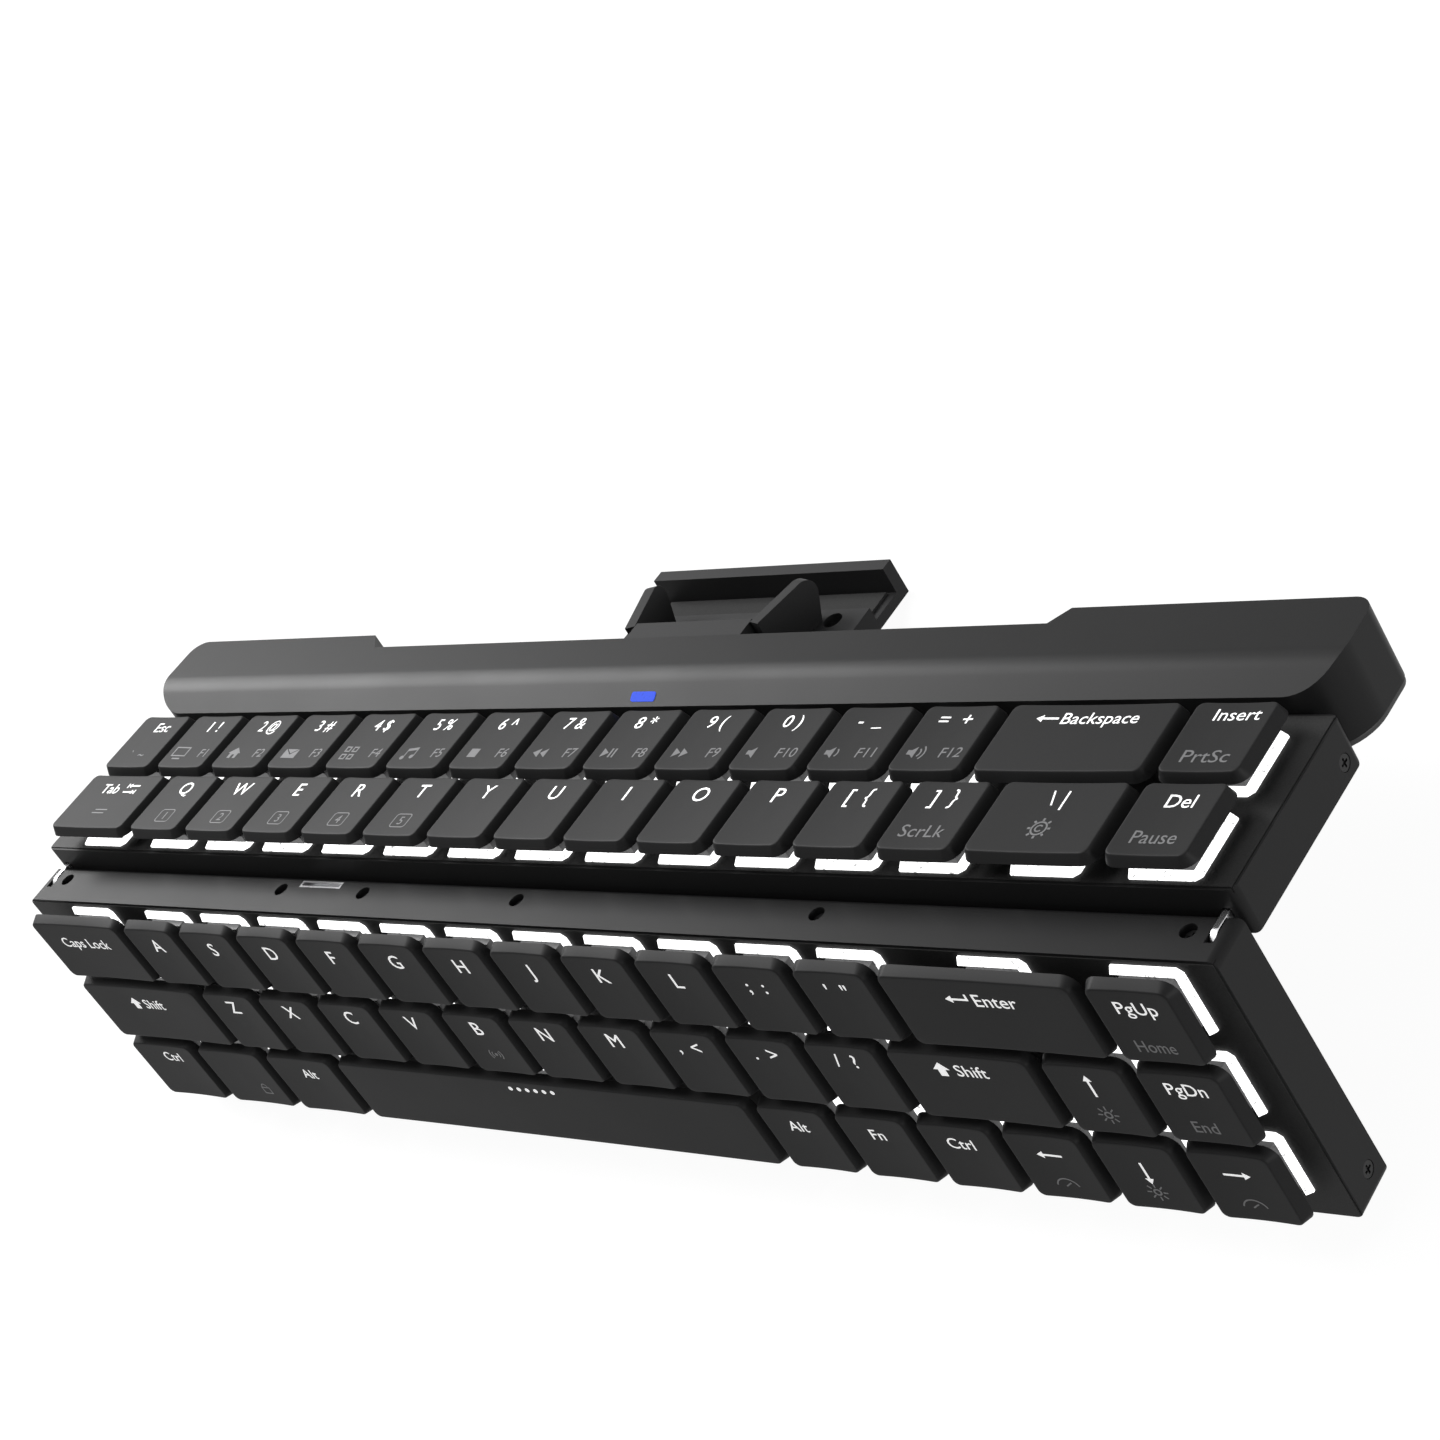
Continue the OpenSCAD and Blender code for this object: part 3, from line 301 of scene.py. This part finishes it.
def triangle(x):
    return [[(x, 0), (x + 1.7, 1.2), (x + 1.7, -1.2)]]


def rewind():
    return triangle(-1.8) + triangle(0.1)


def play_pause():
    return turned(triangle(0), 180) + box(0.3, 0.75, -1.2, 1.2) + box(1.25, 1.7, -1.2, 1.2)


def speaker(waves):
    loops = [[(-2.2, 0.55), (-1.4, 0.55), (-0.4, 1.4), (-0.4, -1.4), (-1.4, -0.55), (-2.2, -0.55)]]
    for n in range(waves):
        loops += stroke(arc_points(-0.6, 0, 1.3 + 0.9 * n, -45, 45, 8), 0.32)
    return loops


def gear():
    loops = disc(0, 0, 1.65) + disc(0, 0, 1.3) + stroke(arc_points(0, 0, 0.7, 40, 320, 14), 0.3)
    for n in range(8):
        loops += turned(box(1.75, 2.35, -0.22, 0.22), 45 * n)
    return loops


def sun():
    loops = disc(0, 0, 0.85) + disc(0, 0, 0.5)
    for n in range(8):
        loops += turned(box(1.15, 2.1, -0.14, 0.14), 45 * n)
    return loops


def gauge():
    line = 0.28
    pointer = [(-0.5, -0.8), (0.3, -0.2), (0.9, 0.2)]
    return stroke(arc_points(0, -1.2, 2.4, 15, 165, 16), line) + stroke(pointer, line)


def padlock():
    return box_line(-1.4, 1.4, -1.6, 0.5, 0.3) + stroke(arc_points(0, 0.6, 0.85, 0, 180, 12), 0.28)


def radio_waves():
    loops = disc(0, 0, 0.4)
    for turn in (0, 180):
        for r in (1.0, 1.7):
            loops += turned(stroke(arc_points(0, 0, r, -42, 42, 8), 0.26), turn)
    return loops


def dots():
    return [loop for n in range(6) for loop in disc((n - 2.5) * 2.4, 0, 0.55)]


def word(text, x, y, cap, width=None, tone="legend", align="CENTER"):
    """Lettering whose capitals are cap high, with their middle at y. width sets how wide it is."""
    return {"text": text, "at": (x, y), "cap": cap, "width": width, "tone": tone, "align": align}


def sub(text, x, y, cap, width=None, align="CENTER"):
    return word(text, x, y, cap, width, "sub_legend", align)


def icon(loops, x, y, tone="legend"):
    return {"loops": moved(loops, x, y), "tone": tone}


def sub_icon(loops, x, y):
    return icon(loops, x, y, "sub_legend")


def digit_key(text, x, width, number, picture):
    top, low = 4.7, -3.7
    lower_marks = [sub(f"F{number}", 6.5, low, 2.4, align="RIGHT"), sub_icon(picture, -3.6, low)]
    return [word(text, x, top, 3.1, width)] + lower_marks


def numbered(letter, number):
    x, y = 0.6, -3.9
    ring = round_box(2.3, 1.9, 0.8) + round_box(2.08, 1.68, 0.58)
    return [*letter_key(letter), sub_icon(ring, x, y), sub(number, x, y, 2.1)]


def letter_key(letter, y=4.4):
    return [word(letter, 0, y, 3.5)]


def sign_key(text, y=4.4, cap=3.3):
    return [word(text, 0, y, cap)]


def side_key(text, y, width, under, under_y, under_width):
    return [word(text, 0.3, y, 2.7, width), sub(under, -0.3, under_y, 2.6, under_width)]


LEFT, RIGHT, DOWN, UP = 0, 180, 90, -90
DIGIT_PICTURES = [monitor(), house(), envelope(), tiles(), notes(), box(-1.2, 1.2, -1.2, 1.2), rewind(),
                  play_pause(), turned(rewind(), 180), speaker(0), speaker(1), speaker(2)]
# the words, their middle and their width
DIGIT_TEXTS = [("1 !", 0.8, 3.6), ("2 @", 0.8, 6.1), ("3 #", 0.5, 5.3), ("4 $", 0, 5), ("5 %", 0.1, 5.3),
               ("6 ^", 0, 4.9), ("7 &", 0.1, 5.5), ("8 *", 0.3, 5.2), ("9 (", 0, 4.6), ("0 )", 0, 4.5),
               ("-  _", 0, None), ("=  +", 0, None)]
DIGIT_KEYS = [digit_key(*text, n + 1, picture)
              for n, (text, picture) in enumerate(zip(DIGIT_TEXTS, DIGIT_PICTURES))]
QWERTY_KEYS = [numbered(c, str(n + 1)) for n, c in enumerate("QWERT")] + [letter_key(c) for c in "YUIOP"]
QWERTY_KEYS += [sign_key("[  {"), sign_key("]  }") + [sub("ScrLk", 0, -3.8, 2.8, 9.5)]]
HOME_KEYS = [letter_key(c, 3.4) for c in "ASDFGHJKL"] + [sign_key(text, 3.4) for text in (";  :", "'  \"")]
BOTTOM_KEYS = [letter_key(c) for c in "ZXCVBNM"]
BOTTOM_KEYS += [sign_key(text, cap=3.2) for text in (",  <", ".  >", "/  ?")]
BOTTOM_KEYS["ZXCVBNM".index("B")].append(sub_icon(radio_waves(), 0, -2.9))

# each deck's rows, from the status bar's side: a node, the width of its keys in units and each key's marks
UPPER_ROWS = [
    [("esc_key", 1, [[word("Esc", 1.2, 4.6, 2.8), sub("`  ~", 0, -4, 2.6)]]),
     ("digit_keys", 1, DIGIT_KEYS),
     ("backspace_key", 2, [[icon(arrow(4.7), -8.6, 4.7), word("Backspace", 2.6, 4.7, 2.7, 16)]]),
     ("insert_key", 1, [[word("Insert", 1.3, 5.2, 2.7, 9), sub("PrtSc", 0, -4.6, 2.8, 9.2)]])],
    [("tab_key", 1.5,
      [[word("Tab", -2.8, 4, 2.8), icon(tab_arrows(), 4.6, 4), sub_icon(two_lines(), 0, -3)]]),
     ("qwerty_keys", 1, QWERTY_KEYS),
     ("backslash_key", 1.5, [[word("\\ |", 0, 4.5, 3.3), sub_icon(gear(), 0, -2.6)]]),
     ("delete_key", 1, [[word("Del", 0.8, 4.1, 2.9), sub("Pause", 0, -4.1, 2.8, 8.7)]])],
]
LOWER_ROWS = [
    [("caps_key", 1.75, [[word("Caps Lock", 0, 2.7, 2.7, 16.7)]]),
     ("home_keys", 1, HOME_KEYS),
     ("enter_key", 2.25, [[icon(return_arrow(), -5, 3.6), word("Enter", 2.9, 3.6, 2.8)]]),
     ("page_up_key", 1, [side_key("PgUp", 4.2, 7.9, "Home", -4.6, 7.5)])],
    [("left_shift_key", 2.25, [[icon(shift_arrow(), -4.6, 3), word("Shift", 1.8, 3, 2.7)]]),
     ("bottom_keys", 1, BOTTOM_KEYS),
     ("right_shift_key", 1.75, [[icon(shift_arrow(), -4.6, 4.4), word("Shift", 1.8, 4.4, 2.7)]]),
     ("up_key", 1, [[icon(turned(arrow(5.1), UP), 0, 3.4), sub_icon(sun(), 0, -3.6)]]),
     ("page_down_key", 1, [side_key("PgDn", 4.5, 7.7, "End", -4.4, 4.8)])],
    [("left_ctrl_key", 1.25, [[word("Ctrl", 1.7, 4.6, 2.6)]]),
     ("super_key", 1.25, [[sub_icon(padlock(), 4.2, -3.1)]]),
     ("left_alt_key", 1.25, [[word("Alt", 0.9, 3.6, 2.6)]]),
     ("space_bar", 6.25, [[icon(dots(), 0, 6)]]),
     ("right_alt_key", 1, [[word("Alt", 0, 3.6, 2.6)]]),
     ("fn_key", 1, [[word("Fn", 0, 3.6, 2.6)]]),
     ("right_ctrl_key", 1, [[word("Ctrl", 0, 3.6, 2.6)]]),
     ("left_key", 1, [[icon(turned(arrow(5.3), LEFT), 0, 3.1), sub_icon(gauge(), 0, -4.1)]]),
     ("down_key", 1, [[icon(turned(arrow(5.3), DOWN), 0, 1), sub_icon(sun(), 0, -3.7)]]),
     ("right_key", 1, [[icon(turned(arrow(5.3), RIGHT), 0, 3.1), sub_icon(gauge(), 0, -4.1)]])],
]

# ---------- keycaps ----------

KEY_SLOTS = ["keycap", "stem", "pin", "legend", "sub_legend"]
CAP_SLOT, STEM_SLOT, WIRE_SLOT = range(3)
CAP_HEIGHT = 2.3
CAP_LEAN = (1.225, 0.875)  # of the sides, along X and Y
CAP_TOP = 1.2  # thickness of the top
CAP_WALL = 1.4
BASE_CORNER = 2.9
TOP_CORNER = 1.5
INNER_CORNER = 1
INNER_FILLET = 0.3
RIM_CUT = 0.12
FILLET_DOWN = 0.25
FILLET_IN = 0.3
FILLET_STEPS = 4
TOP_RINGS = (0.93, 0.8, 0.6, 0.4, 0.2)
DISH = 0.22
LONG_UNITS = 4  # keys from this width have the shallower dish
LONG_DISH = 0.12
CORNER_STEPS = 6
SIDE_STEPS = 5
STEPS_PER_UNIT = 5
FEWEST_STEPS = 6
LEGEND_PROUD = 0.03
LEGEND_DEEP = 0.12
STEM_HALF = (3.5, 2.2)
STEM_Z = (-5.2, -1.15)
STEM_CUT = 0.2
WIRE_UNITS = 2  # keys from this width have a wire and two clips under them
WIRE_INSET = 2
WIRE_Y = 6.6
WIRE_Z = -1.95
WIRE_RADIUS = 0.5
WIRE_SIDES = 14
CLIP_INSET = 4
CLIP_HALF = 1
CLIP_Y = (5.7, 7.5)
CLIP_Z = (-2.75, -1.15)
CLIP_CUT = 0.15


def cap_half(units):
    return (units * PITCH - GAP) / 2


def top_z(x, units):
    """The height of the dished top, that far from the middle of the key."""
    depth = DISH if units < LONG_UNITS else LONG_DISH
    return -depth * max(0.0, 1 - (x / (cap_half(units) - CAP_LEAN[0])) ** 2)


def rounded_outline(hx, hy, r, steps_x):
    """Points round a rectangle with rounded corners, the same number for every size."""
    points = []
    corners = [(1, 1, 0), (-1, 1, 90), (-1, -1, 180), (1, -1, 270)]
    for n, (sx, sy, start) in enumerate(corners):
        points += arc_points(sx * (hx - r), sy * (hy - r), r, start, start + 90, CORNER_STEPS)
        nx, ny, after = corners[(n + 1) % 4]
        end = arc_points(nx * (hx - r), ny * (hy - r), r, after, after, 1)[0]
        steps = steps_x if n % 2 == 0 else SIDE_STEPS
        last = points[-1]
        points += [(last[0] + (end[0] - last[0]) * k / steps, last[1] + (end[1] - last[1]) * k / steps)
                   for k in range(1, steps)]
    return points


def cap_rings(hx, hy):
    """Rings from the middle of the underside, round the skirt and up to the middle of the top:
    half width, half depth, corner radius, height and how much of the dish it follows."""
    ix, iy = hx - CAP_WALL, hy - CAP_WALL
    foot = -CAP_HEIGHT
    rings = [(0.3 * ix, 0.3 * iy, 0.2, -CAP_TOP, 0),
             (ix - INNER_FILLET, iy - INNER_FILLET, 0.8, -CAP_TOP, 0),
             (ix, iy, INNER_CORNER, -CAP_TOP - INNER_FILLET, 0),
             (ix, iy, INNER_CORNER, RIM_CUT + foot, 0),
             (ix + RIM_CUT, iy + RIM_CUT, INNER_CORNER, foot, 0),
             (hx - RIM_CUT, hy - RIM_CUT, BASE_CORNER, foot, 0),
             (hx, hy, BASE_CORNER, RIM_CUT + foot, 0)]
    share = 1 - FILLET_DOWN / CAP_HEIGHT
    for n in range(FILLET_STEPS + 1):
        t = n / FILLET_STEPS
        a, b, c = (1 - t) ** 2, 2 * t * (1 - t), t * t
        x, y = (lean * (a * share + b) + (lean + FILLET_IN) * c for lean in CAP_LEAN)
        rings.append((hx - x, hy - y, TOP_CORNER - FILLET_IN * t, -FILLET_DOWN * a, 1))
    top_x, top_y, corner = rings[-1][:3]
    return rings + [(top_x * s, top_y * s, max(0.1, corner * s), 0, 1) for s in TOP_RINGS]


def add_faces(mesh, faces, slot):
    for corners in faces:
        face = mesh.faces.new(corners)
        face.material_index = slot
        face.smooth = True


def join_loops(mesh, loops, slot):
    """Faces between loops of as many points, and one at each end."""
    count = len(loops[0])
    for a, b in zip(loops, loops[1:]):
        add_faces(mesh, [(a[n], a[(n + 1) % count], b[(n + 1) % count], b[n]) for n in range(count)], slot)
    add_faces(mesh, [loops[0][::-1], loops[-1]], slot)


def add_cap(mesh, at, units):
    steps_x = max(FEWEST_STEPS, round(STEPS_PER_UNIT * units))
    loops = []
    for x, y, r, z, follow in cap_rings(cap_half(units), cap_half(1)):
        loops.append([mesh.verts.new((at[0] + px, at[1] + py, z + follow * top_z(px, units)))
                      for px, py in rounded_outline(x, y, r, steps_x)])
    join_loops(mesh, loops, CAP_SLOT)


def add_block(mesh, x, y, z, slot, chamfer):
    """A box with its edges cut."""
    made = bmesh.ops.create_cube(mesh, size=1)["verts"]
    for vert in made:
        vert.co = Vector([(lo + hi) / 2 + (hi - lo) * c for (lo, hi), c in zip((x, y, z), vert.co)])
    edges = list({edge for vert in made for edge in vert.link_edges})
    result = bmesh.ops.bevel(mesh, geom=edges, offset=chamfer, segments=2, profile=0.5, affect="EDGES")
    for face in {face for vert in result["verts"] for face in vert.link_faces}:
        face.material_index = slot


def add_rod(mesh, x, y, z, r, slot):
    """A round wire along the row with rounded ends."""
    cut, end = 0.4 * r, 0.6 * r
    rings = [(x[0], end), (x[0] + cut, r), (x[1] - cut, r), (x[1], end)]
    loops = []
    for px, pr in rings:
        circle = arc_points(0, 0, pr, 0, 360, WIRE_SIDES)[:-1]
        loops.append([mesh.verts.new((px, y + py, z + pz)) for py, pz in circle])
    join_loops(mesh, loops, slot)


def legend_curve(mark):
    if "text" in mark:
        curve = bpy.data.curves.new("mark", "FONT")
        curve.body = mark["text"]
        curve.align_x = mark["align"]
        curve.resolution_u = 3
    else:
        curve = bpy.data.curves.new("mark", "CURVE")
        curve.dimensions = "2D"
        for loop in mark["loops"]:
            spline = curve.splines.new("POLY")
            spline.points.add(len(loop) - 1)
            for point, (x, y) in zip(spline.points, loop):
                point.co = (x, y, 0, 1)
            spline.use_cyclic_u = True
    curve.fill_mode = "BOTH"
    curve.extrude = 0.1
    return curve


def outline_mesh(curve):
    holder = bpy.data.objects.new("mark", curve)
    flat = bpy.data.meshes.new_from_object(holder)
    bpy.data.objects.remove(holder)
    bpy.data.curves.remove(curve)
    return flat


capital = outline_mesh(legend_curve(word("H", 0, 0, 1)))
CAPITAL = max(v.co.y for v in capital.vertices)  # the built-in font's height of capitals
bpy.data.meshes.remove(capital)


def add_legend(mesh, at, units, mark):
    """Lays one mark on the dished top as a thin closed print, sunk a little into the cap."""
    flat = outline_mesh(legend_curve(mark))
    if "text" in mark:
        scale = mark["cap"] / CAPITAL
        xs = [v.co.x for v in flat.vertices]
        stretch = mark["width"] / (max(xs) - min(xs)) if mark["width"] else scale
        shift = mark["at"][0] - (stretch * (max(xs) + min(xs)) / 2 if mark["align"] == "CENTER" else 0)
        move = (stretch, scale, shift, mark["at"][1] - mark["cap"] / 2)
    else:
        move = (1, 1, 0, 0)
    for vert in flat.vertices:
        x, y = vert.co.x * move[0] + move[2], vert.co.y * move[1] + move[3]
        lift = LEGEND_PROUD if vert.co.z > 0 else -LEGEND_DEEP
        vert.co = (at[0] + x, at[1] + y, top_z(x, units) + lift)
    closed = bmesh.new()
    closed.from_mesh(flat)
    bmesh.ops.remove_doubles(closed, verts=closed.verts, dist=0.001)
    for face in closed.faces:
        face.material_index = KEY_SLOTS.index(mark["tone"])
        face.smooth = False
    closed.to_mesh(flat)
    closed.free()
    mesh.from_mesh(flat)
    bpy.data.meshes.remove(flat)


def add_key(mesh, at, units, marks):
    """One cap with its stem, the wire and clips of a wide key, and its marks."""
    x, y = at
    half = cap_half(units)
    add_cap(mesh, at, units)
    add_block(mesh, (x - STEM_HALF[0], x + STEM_HALF[0]), (y - STEM_HALF[1], y + STEM_HALF[1]), STEM_Z,
              STEM_SLOT, STEM_CUT)
    if units >= WIRE_UNITS:
        ends = (x + WIRE_INSET - half, x + half - WIRE_INSET)
        add_rod(mesh, ends, y + WIRE_Y, WIRE_Z, WIRE_RADIUS, WIRE_SLOT)
        for s in (-1, 1):
            clip = x + s * (half - CLIP_INSET)
            add_block(mesh, (clip - CLIP_HALF, clip + CLIP_HALF), (y + CLIP_Y[0], y + CLIP_Y[1]), CLIP_Z,
                      STEM_SLOT, CLIP_CUT)
    for mark in marks:
        add_legend(mesh, at, units, mark)


def set_order(mesh):
    """Sorts points by place and faces by their points, as their order is otherwise new in each run."""
    for number, vert in enumerate(sorted(mesh.verts, key=lambda vert: tuple(vert.co))):
        vert.index = number
    mesh.verts.sort()
    for number, face in enumerate(sorted(mesh.faces, key=lambda face: [vert.index for vert in face.verts])):
        face.index = number
    mesh.faces.sort()


def add_piece(node, mesh, deck):
    """The keys of a node as one piece, which moves with them and stands in for the CAD node."""
    bmesh.ops.recalc_face_normals(mesh, faces=mesh.faces)
    set_order(mesh)
    mesh.transform(deck)
    data = bpy.data.meshes.new(node + "_cap")
    mesh.to_mesh(data)
    mesh.free()
    for slot in KEY_SLOTS:
        data.materials.append(looks[slot])
    piece = bpy.data.objects.new(node + "_cap", data)
    bpy.context.scene.collection.objects.link(piece)
    normals = piece.modifiers.new("normals", "WEIGHTED_NORMAL")
    normals.keep_sharp = True
    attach(piece, node + "_body")
    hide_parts(node)


def make_keys(rows, far_edge, deck):
    """All keys of a deck, whose rows start far_edge rows from Y = 0."""
    for r, row in enumerate(rows):
        y = (far_edge - r - 0.5) * PITCH
        x = 0.0
        for node, units, keys in row:
            mesh = bmesh.new()
            for marks in keys:
                add_key(mesh, (x + units * PITCH / 2, y), units, marks)
                x += units * PITCH
            add_piece(node, mesh, deck)


make_keys(UPPER_ROWS, len(UPPER_ROWS), UPPER)
make_keys(LOWER_ROWS, 0, LOWER)

# ---------- floor, light and camera ----------


def grey(value):
    return (value, value, value, 1)


def direct_rays(tree):
    """1 for camera, glossy and transmission rays, 0 for the rest."""
    path = tree.nodes.new("ShaderNodeLightPath")
    total = path.outputs["Is Camera Ray"]
    for name in ("Is Glossy Ray", "Is Transmission Ray"):
        add = tree.nodes.new("ShaderNodeMath")
        add.operation = "ADD"
        add.use_clamp = True
        tree.links.new(total, add.inputs[0])
        tree.links.new(path.outputs[name], add.inputs[1])
        total = add.outputs[0]
    return total


def show(tree, lighting, seen, out):
    """Sends out one shader for what lights the object, and another for what is seen."""
    mix = tree.nodes.new("ShaderNodeMixShader")
    tree.links.new(direct_rays(tree), mix.inputs[0])
    tree.links.new(lighting.outputs[0], mix.inputs[1])
    tree.links.new(seen.outputs[0], mix.inputs[2])
    tree.links.new(mix.outputs[0], out.inputs["Surface"])


def add_floor():
    size = 6.0
    data = bpy.data.meshes.new("floor")
    corners = [(-size, -size, 0), (size, -size, 0), (size, size, 0), (-size, size, 0)]
    data.from_pydata(corners, [], [(0, 1, 2, 3)])
    floor = bpy.data.objects.new("floor", data)
    bpy.context.scene.collection.objects.link(floor)
    material = bpy.data.materials.new("floor")
    material.use_nodes = True
    tree = material.node_tree
    tree.nodes.clear()
    out = tree.nodes.new("ShaderNodeOutputMaterial")
    matte = node_of(tree, "ShaderNodeBsdfDiffuse", Color=grey(0.35))
    faint = node_of(tree, "ShaderNodeBsdfDiffuse", Color=grey(0.12))
    white = node_of(tree, "ShaderNodeEmission", Strength=0.95)
    seen = tree.nodes.new("ShaderNodeAddShader")
    tree.links.new(faint.outputs[0], seen.inputs[0])
    tree.links.new(white.outputs[0], seen.inputs[1])
    show(tree, matte, seen, out)
    data.materials.append(material)


def set_world(fill):
    world = bpy.data.worlds.new("studio")
    bpy.context.scene.world = world
    world.use_nodes = True
    tree = world.node_tree
    tree.nodes.clear()
    out = tree.nodes.new("ShaderNodeOutputWorld")
    soft = node_of(tree, "ShaderNodeBackground", Color=grey(1), Strength=fill)
    white = node_of(tree, "ShaderNodeBackground", Color=grey(1))
    show(tree, soft, white, out)


def add_softbox(name, at, size, power):
    """A lamp that is aimed at the middle of the keyboard."""
    light = bpy.data.lights.new(name, "AREA")
    light.shape = "RECTANGLE"
    light.size, light.size_y = size
    light.energy = power
    lamp = bpy.data.objects.new(name, light)
    lamp.location = at
    lamp.rotation_euler = (Vector((0, 0, 0.03)) - Vector(at)).to_track_quat("-Z", "Y").to_euler()
    bpy.context.scene.collection.objects.link(lamp)


def add_camera():
    """The photograph's camera, solved from key corners on both decks."""
    eye = Vector((0.447351, -0.105934, 0.45755))
    right = Vector((0.71908409, 0.18721531, -0.66922979))
    up = Vector((0.00751683, 0.96087533, 0.27687921))
    back = right.cross(up)
    data = bpy.data.cameras.new("camera")
    data.lens = 81.59
    data.sensor_width = 36
    data.clip_start = 0.01
    camera = bpy.data.objects.new("camera", data)
    camera.matrix_world = Matrix.Translation(eye) @ Matrix((right, up, back)).transposed().to_4x4()
    bpy.context.scene.collection.objects.link(camera)
    bpy.context.scene.camera = camera


add_floor()
set_world(fill=0.1)
add_softbox("top_softbox", at=(-0.3, 0.45, 1.2), size=(0.7, 0.7), power=8)
add_softbox("left_softbox", at=(-0.95, 0.56, 0.6), size=(0.55, 0.55), power=20)
add_softbox("side_softbox", at=(1.3, -0.1, 0.2), size=(0.5, 0.3), power=8)
add_camera()
bpy.context.scene.view_settings.view_transform = "Standard"
